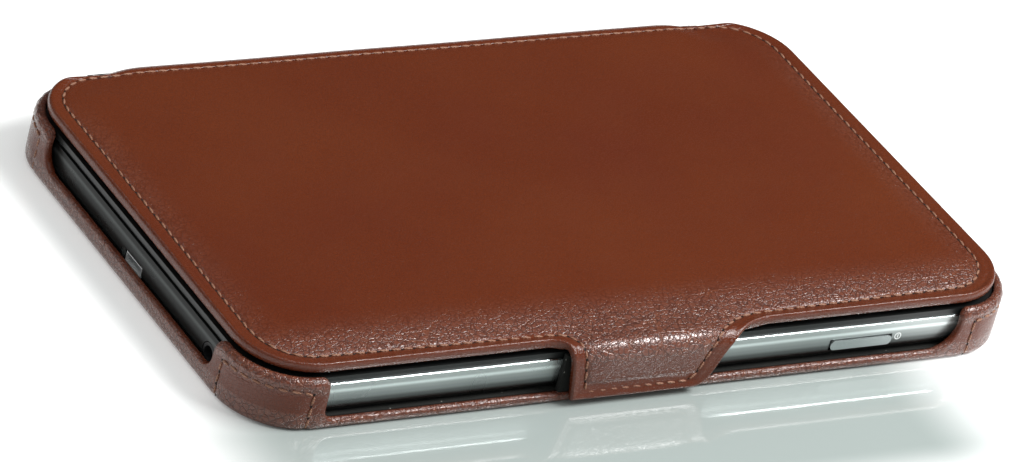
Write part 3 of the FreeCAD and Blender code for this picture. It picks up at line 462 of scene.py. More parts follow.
def make_hide_group():
    """Leather: fine pores, pebbles where it lies loose, long creases, slow changes of tone, painted shade in
    its valleys and a painted highlight on loose pebble tops.
    """
    inputs = [
        ("Place", "Vector", (0.0, 0.0, 0.0)),
        ("Softness", "Float", 0.0),
        ("Tone", "Color", (0.13, 0.03, 0.01, 1.0)),
        ("Deep", "Color", (0.05, 0.01, 0.004, 1.0)),
        ("Pale", "Color", (0.25, 0.09, 0.04, 1.0)),
    ]
    outputs = [("Colour", "Color"), ("Roughness", "Float"), ("Height", "Float")]
    group, given, result = new_group("hide", inputs, outputs)
    place, softness = given.outputs["Place"], given.outputs["Softness"]
    drift = add_node(group, "TexNoise", None, {"Vector": place, "Scale": 420.0, "Detail": 2.0})
    pull = add_node(group, "VectorMath", {"operation": "MULTIPLY_ADD"}, {
        0: drift.outputs["Color"], 1: (0.0011, 0.0011, 0.0011), 2: place})
    warped = pull.outputs[0]

    def cells(scale, width):
        pattern = add_node(group, "TexVoronoi", {"feature": "DISTANCE_TO_EDGE"}, {
            "Vector": warped, "Scale": scale})
        return add_node(group, "MapRange", {"interpolation_type": "SMOOTHERSTEP"}, {
            "Value": pattern.outputs["Distance"], "From Max": width}).outputs[0]

    pores = cells(1250.0, 0.15)
    pebbles = cells(720.0, 0.15)
    creases = cells(130.0, 0.035)

    def cloud(scale, detail):
        return add_node(group, "TexNoise", None, {
            "Vector": place, "Scale": scale, "Detail": detail}).outputs["Fac"]

    dust = cloud(5200.0, 2.0)
    patches = cloud(55.0, 3.0)
    tones = cloud(16.0, 4.0)

    def calculate(operation, first, second, third=0.0):
        return add_node(group, "Math", {"operation": operation}, {
            0: first, 1: second, 2: third}).outputs[0]

    def mixed(share, first, second):
        return add_node(group, "Mix", {"data_type": "RGBA"}, {
            "Factor": share, 6: first, 7: second}).outputs[2]

    pore_size = calculate("MULTIPLY_ADD", softness, 0.06, 0.11)
    fine = calculate("MULTIPLY", pores, pore_size)
    loose = calculate("MULTIPLY", softness, pebbles)
    coarse = calculate("MULTIPLY_ADD", loose, 0.42, fine)
    crease_share = calculate("MULTIPLY", softness, patches)
    crease_depth = calculate("MULTIPLY", calculate("SUBTRACT", creases, 1.0), crease_share)
    creased = calculate("MULTIPLY_ADD", crease_depth, 0.9, coarse)
    height = calculate("MULTIPLY_ADD", dust, 0.07, creased)
    sunk = calculate("MULTIPLY_ADD", calculate("SUBTRACT", 1.0, pebbles), softness, 0.0)
    sunk_pores = calculate("MULTIPLY_ADD", calculate("SUBTRACT", 1.0, pores), 0.28, sunk)
    base = add_node(group, "MapRange", None, {
        "Value": tones, "From Min": 0.3, "From Max": 0.75, "To Max": 0.32}).outputs[0]
    warm = mixed(base, given.outputs["Tone"], given.outputs["Pale"])
    # Pebble valleys and pores are darkened towards Deep: painted shade.
    valley_shade = calculate("MULTIPLY", sunk_pores, 0.5)
    shaded = mixed(valley_shade, warm, given.outputs["Deep"])
    line = calculate("MULTIPLY", calculate("MULTIPLY", crease_depth, -1.0), 1.2)
    lit = mixed(line, shaded, given.outputs["Pale"])
    # Loose pebble tops are paled towards a pinkish tan: a painted highlight.
    tops = calculate("MULTIPLY", calculate("MULTIPLY", softness, pebbles), 0.22)
    with_painted_highlight = mixed(tops, lit, (0.34, 0.17, 0.13, 1.0))
    rough = calculate("MULTIPLY_ADD", sunk_pores, 0.26, calculate("MULTIPLY_ADD", patches, 0.10, 0.20))
    group.links.new(with_painted_highlight, result.inputs["Colour"])
    group.links.new(rough, result.inputs["Roughness"])
    group.links.new(height, result.inputs["Height"])
    return group


hide_group = make_hide_group()


def leather(name, tone, deep, pale, relief):
    material, tree, shader = new_material(name)
    place = add_node(tree, "Attribute", {"attribute_name": "hide"}).outputs["Vector"]
    softness = add_node(tree, "Attribute", {"attribute_name": "softness"}).outputs["Fac"]
    hide = use_group(tree, hide_group, {
        "Place": place, "Softness": softness,
        "Tone": (*tone, 1.0), "Deep": (*deep, 1.0), "Pale": (*pale, 1.0)})
    bump = add_node(tree, "Bump", None, {
        "Strength": relief, "Distance": 0.0003, "Height": hide.outputs["Height"]})
    tree.links.new(hide.outputs["Colour"], shader.inputs["Base Color"])
    tree.links.new(hide.outputs["Roughness"], shader.inputs["Roughness"])
    tree.links.new(bump.outputs[0], shader.inputs["Normal"])
    shader.inputs["Specular IOR Level"].default_value = 0.5
    tree.links.new(softness, shader.inputs["Coat Weight"])
    tree.links.new(bump.outputs[0], shader.inputs["Coat Normal"])
    shader.inputs["Coat Roughness"].default_value = 0.2
    return material


tan_leather = leather(
    "tan_leather", (0.104, 0.0175, 0.0043), (0.03, 0.007, 0.003), (0.17, 0.041, 0.010), 0.8)

TRAY_WALL = 1.9
TRAY_FOOT = 1.6
TRAY_FLOOR = 0.8
POCKET_LIP = 0.5
POCKET_SPAN = 18.8
POCKET_DROP = 20.3
TRAY_CORNER = 16.9
END_RISE = 1.9
RIM_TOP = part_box("back_panel_leather")[1].z / MM
POCKET_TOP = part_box("front_left_pocket")[1].z / MM
BEZEL_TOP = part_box("front_bezel")[1].z / MM
tray_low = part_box("back_panel_leather")[0] / MM
tray_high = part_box("back_panel_leather")[1] / MM
foot_arc = TRAY_FOOT * math.pi / 2
turn = TRAY_CORNER * math.pi / 2
end_run = tray_high.x - TRAY_CORNER - (tray_high.x - POCKET_SPAN)
side_run = tray_high.y - tray_low.y - 2 * TRAY_CORNER
front_run = 2 * (tray_high.x - TRAY_CORNER)
tray_start = (-(tray_high.x - POCKET_SPAN), tray_high.y)
tray_route = [
    (end_run, 0), (turn, TRAY_CORNER), (side_run, 0), (turn, TRAY_CORNER), (front_run, 0),
    (turn, TRAY_CORNER), (side_run, 0), (turn, TRAY_CORNER), (end_run, 0)]
tray_length = sum(length for length, radius in tray_route)
side_part = POCKET_DROP - TRAY_CORNER
rear_pocket = end_run + turn + side_part
front_pocket = rear_pocket + side_run - 2 * side_part
front_end = front_pocket + side_part + turn + POCKET_SPAN - TRAY_CORNER


def tray_height(z):
    """The length of leather from the foot of the wall up to that height."""
    return foot_arc + z - TRAY_FOOT


def mirrored(distance):
    return tray_length - distance


window_low = tray_height(RIM_TOP)
end_window_low = tray_height(RIM_TOP + END_RISE)
pocket_high = tray_height(POCKET_TOP)
tray_corners = [
    (0, 0, 0),
    (mirrored(0), 0, 0),
    (mirrored(0), pocket_high, 2.2),
    (mirrored(rear_pocket), pocket_high, 2.6),
    (mirrored(rear_pocket), end_window_low, 4.6),
    (mirrored(front_pocket), end_window_low, 3.6),
    (mirrored(front_pocket), pocket_high, 2.6),
    (mirrored(front_end), pocket_high, 2.0),
    (mirrored(front_end), window_low, 7.0),
    (front_end, window_low, 2.6),
    (front_end, pocket_high, 2.0),
    (front_pocket, pocket_high, 2.6),
    (front_pocket, end_window_low, 3.6),
    (rear_pocket, end_window_low, 5.0),
    (rear_pocket, pocket_high, 2.6),
    (0, pocket_high, 2.2),
]
tray_outline = rounded_outline(tray_corners, 0.7)
SEAM_INSET = 4.0
SEAM_DROP = 3.0
SEAM_FOOT = 1.2
POCKET_GROOVE = 0.38
POCKET_GROOVE_WIDTH = 0.55
POCKET_PUFF = 0.30
POCKET_RIPPLE = 0.10
pocket_ends = [
    (0, rear_pocket),
    (front_pocket, front_end),
    (mirrored(front_end), mirrored(front_pocket)),
    (mirrored(rear_pocket), mirrored(0)),
]
pocket_seams = []
for seam_start, seam_end in pocket_ends:
    seam_corners = [
        (seam_start + SEAM_INSET, SEAM_FOOT),
        (seam_start + SEAM_INSET, pocket_high - SEAM_DROP),
        (seam_end - SEAM_INSET, pocket_high - SEAM_DROP),
        (seam_end - SEAM_INSET, SEAM_FOOT),
    ]
    pocket_seams.append(seam_corners)


def tray_place(points, depth, inner):
    """Where points of the flat tray wall (along, up) lie on the case, that deep below its face."""
    along, up = points[:, 0], points[:, 1]
    places, normals = follow(tray_start, math.pi, tray_route, along)
    angle = numpy.clip(up / TRAY_FOOT, 0, math.pi / 2)
    outer_inset = TRAY_FOOT * (1 - numpy.sin(angle))
    outer_z = TRAY_FOOT * (1 - numpy.cos(angle)) + numpy.maximum(up - foot_arc, 0)
    inner_z = numpy.where(up < foot_arc, TRAY_FLOOR + TRAY_FLOOR * up / foot_arc, outer_z)
    z = numpy.where(inner, inner_z, outer_z)
    lean = 0.6 * smooth_rise(outer_z, 9.5, POCKET_TOP)
    inset = numpy.where(inner, TRAY_WALL, outer_inset) + lean
    inset = inset + numpy.where(inner, -depth, depth)
    return numpy.column_stack((places + normals * inset[:, None], z))


def tray_relief(points):
    """How deep the outer face lies: puffed tops, a sunk border and the seam's groove."""
    seam_gap = numpy.min([distance_to(points, seam, False) for seam in pocket_seams], axis=0)
    groove = POCKET_GROOVE * numpy.exp(-((seam_gap / POCKET_GROOVE_WIDTH) ** 2))
    z = points[:, 1] - foot_arc + TRAY_FOOT
    puff = POCKET_PUFF * smooth_rise(z, POCKET_TOP - SEAM_DROP, POCKET_TOP - 1.6)
    ripple = POCKET_RIPPLE * numpy.sin(points[:, 0] * 1.9) * smooth_rise(z, 9.0, POCKET_TOP - 1.0)
    return groove - puff + ripple


def make_tray():
    cuts = (steps(0, tray_length, 1.25)[1:-1], [0.7, 1.3, 1.9, foot_arc, *steps(3.2, pocket_high, 0.9)[:-1]])
    mesh = cut_sheet(tray_outline, EDGE_RINGS, ([], cuts[1]), (cuts[0], []))
    side = mesh.verts.layers.int["side"]
    place_layer = mesh.verts.layers.float_vector.new("hide")
    soft_layer = mesh.verts.layers.float.new("softness")
    points = numpy.array([vert.co for vert in mesh.verts])
    inner = numpy.array([vert[side] for vert in mesh.verts]) == 1
    turned = [point for point in tray_outline if point[1] > 1e-6]
    edge = distance_to(points, [(mirrored(0), 0), *turned, (0, 0)], False)
    z = points[:, 1] - foot_arc + TRAY_FOOT
    lip = POCKET_LIP * smooth_rise(z, BEZEL_TOP - 0.1, POCKET_TOP)
    depth = rolled(edge, TRAY_WALL / 2)
    depth = depth + numpy.where(inner, -lip, tray_relief(points)) * smooth_rise(edge, 0, 1.2)
    places = tray_place(points, depth, inner)
    softness = 0.10 + 0.60 * smooth_rise(z, 8.6, 10.6)
    softness = numpy.where(z < RIM_TOP + END_RISE, 0.7, softness)
    levels = numpy.where(inner, depth - TRAY_WALL, -depth)
    for vert, place, flat, level, soft in zip(mesh.verts, places, points, levels, softness):
        vert[place_layer] = Vector((flat[0], flat[1], level)) * MM
        vert[soft_layer] = soft
        vert.co = place
    raw = [vert for vert, gap in zip(mesh.verts, edge) if gap < 1e-3]
    bmesh.ops.remove_doubles(mesh, verts=raw, dist=0.05)
    lowest = {}
    for name, level in (("under", 0.0), ("floor", TRAY_FLOOR)):
        rim = [line for line in mesh.edges if line.is_boundary
               and all(abs(vert.co.z - level) < 0.02 for vert in line.verts)]
        ends = [vert for line in rim for vert in line.verts
                if sum(other in rim for other in vert.link_edges) == 1]
        closing = mesh.edges.new(ends)
        lowest[name] = closing
        filled = bmesh.ops.edgeloop_fill(mesh, edges=[*rim, closing])["faces"]
        for face in filled:
            face.normal_update()
            if (face.normal.z > 0) == (name == "under"):
                face.normal_flip()
    bmesh.ops.bridge_loops(mesh, edges=list(lowest.values()))
    under_faces = [face for face in mesh.faces if len(face.verts) > 50]
    bmesh.ops.triangulate(mesh, faces=under_faces)
    return finish_piece("tray_skin", mesh, tan_leather)


tray_skin = make_tray()
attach(tray_skin, "case")
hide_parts("back_panel_leather", "front_left_pocket", "front_right_pocket",
            "rear_left_pocket", "rear_right_pocket")

# ---------------------------------------------------------------- case: cover, tab and spine leather
# One hide runs from the closure tab's foot, up over the front edge, across the padded cover, round
# the soft fold at the back and down the spine. It is cut where the cover and the spine turn.

COVER_FRONT = -58.5
COVER_BACK = 59.8
COVER_CORNER = 16.0
COVER_SIDE = 100.0
SPINE_SIDE = 83.0
SPINE_TAPER = 3.0
SPINE_TAPER_RUN = 5.0
SPINE_TAIL = 6.0
FRONT_BEND = 4.5
BACK_BEND = 6.0
FOOT_BEND = 3.0
COVER_EDGE = 3.2
TAB_EDGE = 2.2
SPINE_EDGE = 0.9
BORDER = 4.0
BACK_BORDER = 2.6
SEAM_FRONT = -54.2
TAB_SEAM_FRONT = -55.9
TAB_SEAM_RISE = 2.0
SEAM_GROOVE = 0.42
SEAM_GROOVE_WIDTH = 0.6
BORDER_DROP = 0.45
FRONT_SAG = 0.5
FRONT_DIP = 0.08
FOLD_TUCK = 0.9
FOLD_TUCK_REACH = 10.0
LINING_RECESS = 0.5
TAB_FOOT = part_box("closure_tab")[0].z / MM
tab_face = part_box("closure_tab")[0].y / MM
spine_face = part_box("spine_leather")[1].y / MM
cover_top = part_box("cover_leather")[1].z / MM
tab_run = cover_top - FRONT_BEND - TAB_FOOT
top_start = tab_face + FRONT_BEND
top_end = spine_face - BACK_BEND
spine_run = cover_top - BACK_BEND - FOOT_BEND
hide_route = [
    (tab_run, 0), (FRONT_BEND * math.pi / 2, -FRONT_BEND), (top_end - top_start, 0),
    (BACK_BEND * math.pi / 2, -BACK_BEND), (spine_run, 0), (FOOT_BEND * math.pi / 2, -FOOT_BEND),
    (SPINE_TAIL, 0)]
hide_shift = top_start - tab_run - FRONT_BEND * math.pi / 2
tab_end = hide_shift
spine_top = top_end + BACK_BEND * math.pi / 2
spine_middle = spine_top + spine_run / 2
spine_end = spine_top + spine_run + FOOT_BEND * math.pi / 2

cover_corners = [
    (-COVER_SIDE, COVER_FRONT, COVER_CORNER),
    (-24.6, COVER_FRONT, 4.0),
    (-21.2, tab_end, 0),
    (13.8, tab_end, 5.0),
    (21.5, COVER_FRONT, 16.0),
    (COVER_SIDE, COVER_FRONT, COVER_CORNER),
    (COVER_SIDE, COVER_BACK, COVER_CORNER),
    (SPINE_SIDE, COVER_BACK, 0),
    (SPINE_SIDE - SPINE_TAPER, COVER_BACK + SPINE_TAPER_RUN, 0),
    (SPINE_SIDE - SPINE_TAPER, spine_end + SPINE_TAIL, 0),
    (SPINE_TAPER - SPINE_SIDE, spine_end + SPINE_TAIL, 0),
    (SPINE_TAPER - SPINE_SIDE, COVER_BACK + SPINE_TAPER_RUN, 0),
    (-SPINE_SIDE, COVER_BACK, 0),
    (-COVER_SIDE, COVER_BACK, COVER_CORNER),
]
cover_outline = rounded_outline(cover_corners, 1.0)
seam_side = COVER_SIDE - BORDER
seam_round = COVER_CORNER - BORDER
seam_back = COVER_BACK - BACK_BORDER
cover_seam = rounded_outline([
    (-seam_side, SEAM_FRONT, seam_round),
    (-21.4, TAB_SEAM_FRONT, 3.4),
    (-17.9, tab_end + TAB_SEAM_RISE, 0),
    (10.4, tab_end + TAB_SEAM_RISE, 2.2),
    (17.6, TAB_SEAM_FRONT, 17.0),
    (seam_side, SEAM_FRONT, seam_round),
    (seam_side, seam_back, seam_round),
    (-seam_side, seam_back, seam_round),
], 1.0)


def hide_place(points, height):
    """Where points of the flat hide (x, along) lie on the case, at that height over its face."""
    places, normals = follow((tab_face, TAB_FOOT), math.pi / 2, hide_route, points[:, 1] - hide_shift)
    places = places + normals * height[:, None]
    return numpy.column_stack((points[:, 0], places))


def hide_relief(points, edge):
    """Height of the hide's face: turned edge, flat border, seam groove, puffed panel, front sag."""
    seam_gap = distance_to(points, cover_seam, True)
    along = points[:, 1]
    groove = SEAM_GROOVE * numpy.exp(-((seam_gap / SEAM_GROOVE_WIDTH) ** 2))
    border = BORDER_DROP * (1 - smooth_rise(edge, 3.8, 11.0))
    sag = FRONT_SAG * (1 - smooth_rise(along, -55.5, -44.0))
    dip = FRONT_DIP * (1 - smooth_rise(along, -56.5, -51.0))
    sunk = (sag + dip) * smooth_rise(along, -62.0, -58.0)
    wave = 0.07 * numpy.sin(points[:, 0] / 9.0) * numpy.sin(along / 13.0 + 1.0)
    return wave - groove - border - sunk


def hide_tuck(points):
    """How far the fold's two ends are drawn down beside the cover's corners."""
    outward = smooth_rise(numpy.abs(points[:, 0]), SPINE_SIDE - FOLD_TUCK_REACH, SPINE_SIDE)
    along = points[:, 1]
    return FOLD_TUCK * outward * smooth_rise(along, 57.6, 60.0) * (1 - smooth_rise(along, 61.0, 65.5))


def hide_thickness(along):
    tab_share = 1 - smooth_rise(along, -62.5, -58.5)
    spine_share = smooth_rise(along, 57.0, 61.5)
    return COVER_EDGE + (TAB_EDGE - COVER_EDGE) * tab_share + (SPINE_EDGE - COVER_EDGE) * spine_share


def hide_softness(points, edge):
    along = points[:, 1]
    front = 0.9 * (1 - smooth_rise(along, -56.0, -40.0)) * smooth_rise(along, -68.5, -64.5)
    sides = 0.30 * (1 - smooth_rise(edge, 4.0, 13.0)) * (1 - smooth_rise(along, 30.0, 55.0))
    loose = numpy.maximum(front, sides) * (0.12 + 0.88 * smooth_rise(edge, 3.2, 4.6))
    return 0.05 + loose


def make_hide():
    beside_seam = [seam_side - gap for gap in (0.5, 1.1)]
    cuts = (
        [*steps(-COVER_SIDE, COVER_SIDE, 1.8)[1:-1], *beside_seam, *[-place for place in beside_seam]],
        [*steps(-56.0, seam_back, 1.3)[:-1], -53.6, -53.0, seam_back - 0.5, seam_back + 0.5])
    bends = [*steps(tab_end, -56.6, 0.8)[1:-1], *steps(seam_back + 1.0, spine_end + 5.0, 0.9)]
    mesh = cut_sheet(cover_outline, (*EDGE_RINGS, 0.5, 0.3, 0.4, 0.8, 0.4, 0.4, 0.4, 0.5), cuts, ([], bends))
    side = mesh.verts.layers.int["side"]
    place_layer = mesh.verts.layers.float_vector.new("hide")
    soft_layer = mesh.verts.layers.float.new("softness")
    points = numpy.array([vert.co for vert in mesh.verts])
    under = numpy.array([vert[side] for vert in mesh.verts]) == 1
    edge = distance_to(points, cover_outline, True)
    thick = hide_thickness(points[:, 1])
    roll = rolled(edge, thick / 2)
    relief = hide_relief(points, edge) * smooth_rise(edge, 0, 2.0)
    lining_gap = LINING_RECESS * smooth_rise(edge, 1.6, 2.2) * (numpy.abs(points[:, 1]) < 60)
    height = numpy.where(under, lining_gap - thick + roll, relief - roll) - hide_tuck(points)
    softness = hide_softness(points, edge)
    for vert, flat, level, soft in zip(mesh.verts, points, height, softness):
        vert[place_layer] = Vector((flat[0], flat[1], level)) * MM
        vert[soft_layer] = soft
        vert.co.z = level
    raw = [vert for vert, gap in zip(mesh.verts, edge) if gap < 1e-3]
    bmesh.ops.remove_doubles(mesh, verts=raw, dist=0.05)
    return mesh


def hide_part(name, source, low, high):
    """The part of the flat hide between two cuts, closed at both and folded to shape."""
    mesh = source.copy()
    for place, direction in ((low, -1), (high, 1)):
        if place is None:
            continue
        geometry = mesh.verts[:] + mesh.edges[:] + mesh.faces[:]
        bmesh.ops.bisect_plane(mesh, geom=geometry, dist=1e-4, plane_co=(0, place, 0),
                               plane_no=(0, direction, 0), clear_outer=True)
        open_edges = [edge for edge in mesh.edges if edge.is_boundary]
        bmesh.ops.holes_fill(mesh, edges=open_edges, sides=0)
    points = numpy.array([vert.co for vert in mesh.verts])
    for vert, place in zip(mesh.verts, hide_place(points, points[:, 2])):
        vert.co = place
    return finish_piece(name, mesh, tan_leather)


flat_hide = make_hide()
cover_skin = hide_part("cover_skin", flat_hide, None, seam_back)
spine_upper_skin = hide_part("spine_upper_skin", flat_hide, seam_back, spine_middle)
spine_lower_skin = hide_part("spine_lower_skin", flat_hide, spine_middle, spine_end)
flat_hide.free()

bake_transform(cover_skin)
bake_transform(spine_upper_skin)
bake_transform(spine_lower_skin)
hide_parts("cover_leather", "closure_tab")
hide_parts("spine_leather")

# ---------------------------------------------------------------- case: foam in the cover
# A thin sheet of foam lies on the cover's board, inside the seam, and gives the cover its crown.
# It thins out towards the seam, where the leather is drawn down on it.

FOAM_INSET = 6.5
FOAM_FRONT_INSET = 9.0
FOAM_CORNER = 9.0
HIDE_THICKNESS = 0.8
FOAM_LEAST = 0.25
foam_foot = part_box("cover_padding")[0].z / MM
foam_side = COVER_SIDE - FOAM_INSET
foam_front = COVER_FRONT + FOAM_FRONT_INSET
foam_back = COVER_BACK - FOAM_INSET


def make_foam():
    outline = rounded_outline([
        (-foam_side, foam_front, FOAM_CORNER), (foam_side, foam_front, FOAM_CORNER),
        (foam_side, foam_back, FOAM_CORNER), (-foam_side, foam_back, FOAM_CORNER)], 2.0)
    cuts = (steps(-foam_side, foam_side, 6.0)[1:-1], steps(foam_front, foam_back, 6.0)[1:-1])
    mesh = cut_sheet(outline, (0.3, 0.5, 0.9), cuts, ([], []))
    side = mesh.verts.layers.int["side"]
    points = numpy.array([vert.co for vert in mesh.verts])
    edge = distance_to(points, outline, True)
    hide_edge = distance_to(points, cover_outline, True)
    top = cover_top + hide_relief(points, hide_edge) - HIDE_THICKNESS
    top = numpy.maximum(top, foam_foot + FOAM_LEAST)
    middle = (top + foam_foot) / 2
    level = numpy.where([vert[side] == 1 for vert in mesh.verts], foam_foot, top)
    level = middle + (level - middle) * (1 - (1 - numpy.clip(edge / 1.7, 0, 1)) ** 2) ** 0.5
    for vert, height in zip(mesh.verts, level):
        vert.co.z = height
    raw = [vert for vert, gap in zip(mesh.verts, edge) if gap < 1e-3]
    bmesh.ops.remove_doubles(mesh, verts=raw, dist=0.05)
    cream = moulded("cream_foam", (0.72, 0.68, 0.55), (0.6, 0.55, 0.43), 0.95, grain=2200.0, relief=0.8)
    return finish_piece("cover_foam", mesh, cream)


cover_foam = make_foam()
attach(cover_foam, "cover")
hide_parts("cover_padding")

# ---------------------------------------------------------------- case: stitching
# Waxed thread closes every turned edge. Each stitch dips at both ends into a needle hole, pulled
# a little aslant by the lockstitch.
# The needle holes are flat dark blobs on the leather: painted shade.

STITCH_PITCH = 3.0
STITCH_LENGTH = 2.35
THREAD = 0.62
THREAD_FLATNESS = 0.45
STITCH_RISE = 0.17
STITCH_SLANT = 0.10
HOLE_SHAPE = (0.42, 0.36, 0.13)
HOLE_RISE = 0.03


def twisted_thread():
    material, tree, shader = new_material("waxed_thread")
    place = add_node(tree, "TexCoord").outputs["Object"]
    strands = add_node(tree, "TexWave", {"bands_direction": "DIAGONAL"}, {
        "Vector": place, "Scale": 900.0, "Distortion": 1.5, "Detail": 1.0})
    tint = add_node(tree, "TexNoise", None, {"Vector": place, "Scale": 180.0, "Detail": 2.0})
    share = add_node(tree, "Math", {"operation": "MULTIPLY"}, {
        0: strands.outputs["Fac"], 1: tint.outputs["Fac"]})
    colour = add_node(tree, "Mix", {"data_type": "RGBA"}, {
        "Factor": share.outputs[0], 6: (0.20, 0.075, 0.04, 1.0), 7: (0.50, 0.29, 0.19, 1.0)})
    bump = add_node(tree, "Bump", None, {
        "Strength": 0.6, "Distance": 0.0001, "Height": strands.outputs["Fac"]})
    tree.links.new(colour.outputs[2], shader.inputs["Base Color"])
    tree.links.new(bump.outputs[0], shader.inputs["Normal"])
    shader.inputs["Roughness"].default_value = 0.55
    return material


waxed_thread = twisted_thread()
# Needle holes are painted shade: a dark colour put where the holes fall.
needle_hole_shade = moulded("needle_hole_shade", (0.012, 0.004, 0.002), (0.006, 0.002, 0.001), 0.9)


def evenly_along(line, spacing, closed):
    """Points that far apart along a line, evened out to its length."""
    corners = numpy.array([*line, line[0]] if closed else line, float)
    lengths = numpy.hypot(*numpy.diff(corners, axis=0).T)
    reached = numpy.concatenate(([0], numpy.cumsum(lengths)))
    count = max(1, round(reached[-1] / spacing))
    marks = numpy.linspace(0, reached[-1], count + 1)
    return numpy.column_stack([numpy.interp(marks, reached, corners[:, axis]) for axis in (0, 1)])


def sew(name, lines, closed, lay):
    """Stitches and needle holes along flat lines; lay gives points their place at a height."""
    mesh = bmesh.new()
    for line in lines:
        marks = evenly_along(line, STITCH_PITCH, closed)
        begins, finishes = marks[:-1], marks[1:]
        runs = finishes - begins
        spare = (1 - STITCH_LENGTH / STITCH_PITCH) / 2
        heads = begins + spare * runs
        tails = finishes - spare * runs
        across = numpy.column_stack((-runs[:, 1], runs[:, 0])) * STITCH_SLANT / 2
        firsts, lasts = lay(heads + across, 0.0), lay(tails - across, 0.0)
        raised = lay((heads + tails) / 2, 1.0) - lay((heads + tails) / 2, 0.0)
        holes = lay(begins, 0.0)
        for first, last, lift, hole in zip(firsts, lasts, raised, holes):
            along = Vector(last - first)
            up = Vector(lift).normalized()
            sideways = up.cross(along).normalized()
            up = along.cross(sideways).normalized()
            middle = Vector((first + last) / 2) + up * STITCH_RISE
            axes = Matrix((along / 2, sideways * THREAD / 2, up * THREAD * THREAD_FLATNESS)).transposed()
            place = Matrix.Translation(middle) @ axes.to_4x4()
            bmesh.ops.create_uvsphere(mesh, u_segments=8, v_segments=6, radius=1.0, matrix=place)
            old = set(mesh.faces)
            long, wide, deep = HOLE_SHAPE
            axes = Matrix((along.normalized() * long, sideways * wide, up * deep)).transposed()
            place = Matrix.Translation(Vector(hole) + up * HOLE_RISE) @ axes.to_4x4()
            bmesh.ops.create_uvsphere(mesh, u_segments=8, v_segments=4, radius=1.0, matrix=place)
            for face in mesh.faces:
                if face not in old:
                    face.material_index = 1
    bmesh.ops.recalc_face_normals(mesh, faces=mesh.faces)
    return finish_piece(name, mesh, waxed_thread, needle_hole_shade)


def lay_on_hide(points, height):
    edge = distance_to(points, cover_outline, True)
    return hide_place(points, hide_relief(points, edge) + height)


def lay_on_tray(points, height):
    outer = numpy.zeros(len(points), bool)
    return tray_place(points, tray_relief(points) - height, outer)


cover_stitches = sew("cover_stitches", [cover_seam], True, lay_on_hide)
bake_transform(cover_stitches)
pocket_stitches = sew("pocket_stitches", pocket_seams, False, lay_on_tray)
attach(pocket_stitches, "case")

# ---------------------------------------------------------------- studio
# A white gloss table that glows a little, a panel at the front right, a fill overhead and a thin
# strip behind. A long lens looks on from the front left.

CAMERA_PLACE = (-0.86873, -1.12363, 0.82763)
CAMERA_AIM = (0.00244, 0.00488, 0.0)
CAMERA_ROLL = 15.534
LENS = 254.36
# The table's patch of painted shade and reflection, in metres: the axis, where it has faded out and where it
# is full.
PAINTED_SHADE_EDGES = (("Y", -0.108, -0.090), ("X", -0.128, -0.092), ("X", 0.092, 0.058), ("Y", -0.040, -0.062))
TABLE_GLOW = 0.28
TABLE_SIZE = 4000.0
SKY_LEVEL = 0.50
SKY_LEVEL_IN_GLOSS = 0.04

camera = bpy.data.objects.new("camera", bpy.data.cameras.new("camera"))
bpy.context.scene.collection.objects.link(camera)
camera.data.lens = LENS
camera.data.sensor_width = 36.0
camera.data.clip_start = 0.05
camera.location = CAMERA_PLACE
look = (Vector(CAMERA_AIM) - Vector(CAMERA_PLACE)).to_track_quat("-Z", "Y")
camera.rotation_mode = "QUATERNION"
camera.rotation_quaternion = look @ Matrix.Rotation(math.radians(CAMERA_ROLL), 4, "Z").to_quaternion()
bpy.context.scene.camera = camera


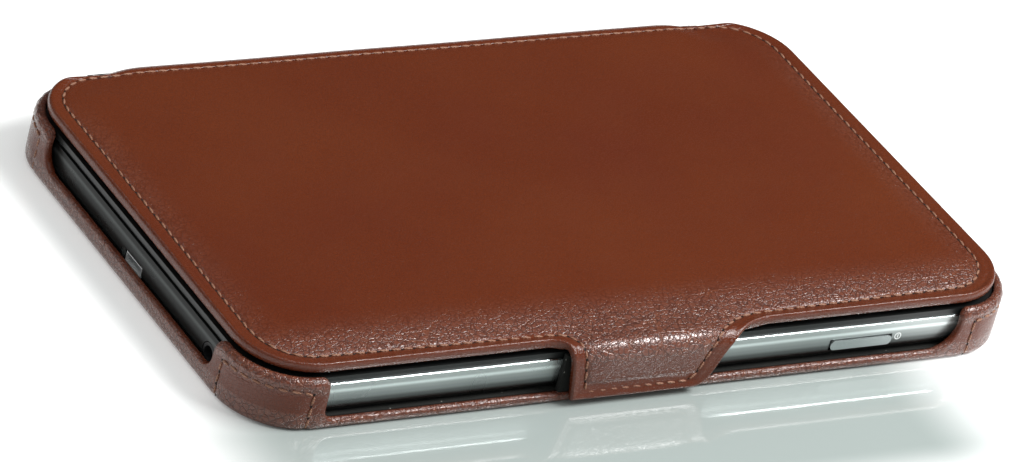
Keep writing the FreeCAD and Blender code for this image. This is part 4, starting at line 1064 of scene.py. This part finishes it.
def white_table():
    """White gloss that glows a little, with a soft-edged patch of painted shade and reflection in front of
    the case.
    """
    material, tree, shader = new_material("white_table")
    place = add_node(tree, "TexCoord").outputs["Object"]
    haze = add_node(tree, "TexNoise", None, {"Vector": place, "Scale": 6.0, "Detail": 2.0})
    rough = add_node(tree, "MapRange", None, {"Value": haze.outputs["Fac"], "To Min": 0.03, "To Max": 0.06})
    tree.links.new(rough.outputs[0], shader.inputs["Roughness"])
    spot = add_node(tree, "SeparateXYZ", None, {0: place})
    masks = []
    for axis, clear, full in PAINTED_SHADE_EDGES:
        fade = add_node(tree, "MapRange", {"interpolation_type": "SMOOTHSTEP"}, {
            "Value": spot.outputs[axis], "From Min": min(clear, full), "From Max": max(clear, full),
            "To Min": float(clear > full), "To Max": float(full > clear)})
        masks.append(fade.outputs[0])
    shade = masks[0]
    for mask in masks[1:]:
        shade = add_node(tree, "Math", {"operation": "MULTIPLY"}, {0: shade, 1: mask}).outputs[0]
    # The grey mixed in here is painted shade and reflection of the case's side.
    colour = add_node(tree, "Mix", {"data_type": "RGBA"}, {
        "Factor": shade, 6: (0.90, 0.91, 0.905, 1.0), 7: (0.38, 0.43, 0.415, 1.0)})
    tree.links.new(colour.outputs[2], shader.inputs["Base Color"])
    shader.inputs["IOR"].default_value = 2.0
    glow = add_node(tree, "MapRange", None, {"Value": shade, "To Min": TABLE_GLOW, "To Max": 0.0})
    tree.links.new(glow.outputs[0], shader.inputs["Emission Strength"])
    return material


table = bmesh.new()
bmesh.ops.create_grid(table, x_segments=1, y_segments=1, size=TABLE_SIZE)
table_top = finish_piece("table_top", table, white_table())


def soft_light(name, place, size, power):
    light = bpy.data.lights.new(name, "AREA")
    light.shape = "RECTANGLE"
    light.size, light.size_y = size
    light.energy = power
    lamp = bpy.data.objects.new(name, light)
    lamp.location = place
    lamp.rotation_mode = "QUATERNION"
    lamp.rotation_quaternion = (-Vector(place)).to_track_quat("-Z", "Y")
    bpy.context.scene.collection.objects.link(lamp)


soft_light("overhead_panel", (-0.35, -0.25, 1.3), (1.1, 1.1), 3.0)
soft_light("right_panel", (0.82, -0.52, 1.20), (0.85, 0.5), 30.0)
soft_light("back_strip", (-0.55, 1.0, 1.05), (0.7, 0.10), 1.0)

world = bpy.data.worlds.new("studio")
world.use_nodes = True
bpy.context.scene.world = world
sky = world.node_tree
backdrop = sky.nodes["Background"]
ray = add_node(sky, "LightPath")
level = add_node(sky, "MapRange", None, {
    "Value": ray.outputs["Is Glossy Ray"], "To Min": SKY_LEVEL, "To Max": SKY_LEVEL_IN_GLOSS})
backdrop.inputs["Color"].default_value = (0.97, 1.0, 0.99, 1.0)
sky.links.new(level.outputs[0], backdrop.inputs["Strength"])
bpy.context.scene.view_settings.view_transform = "Standard"
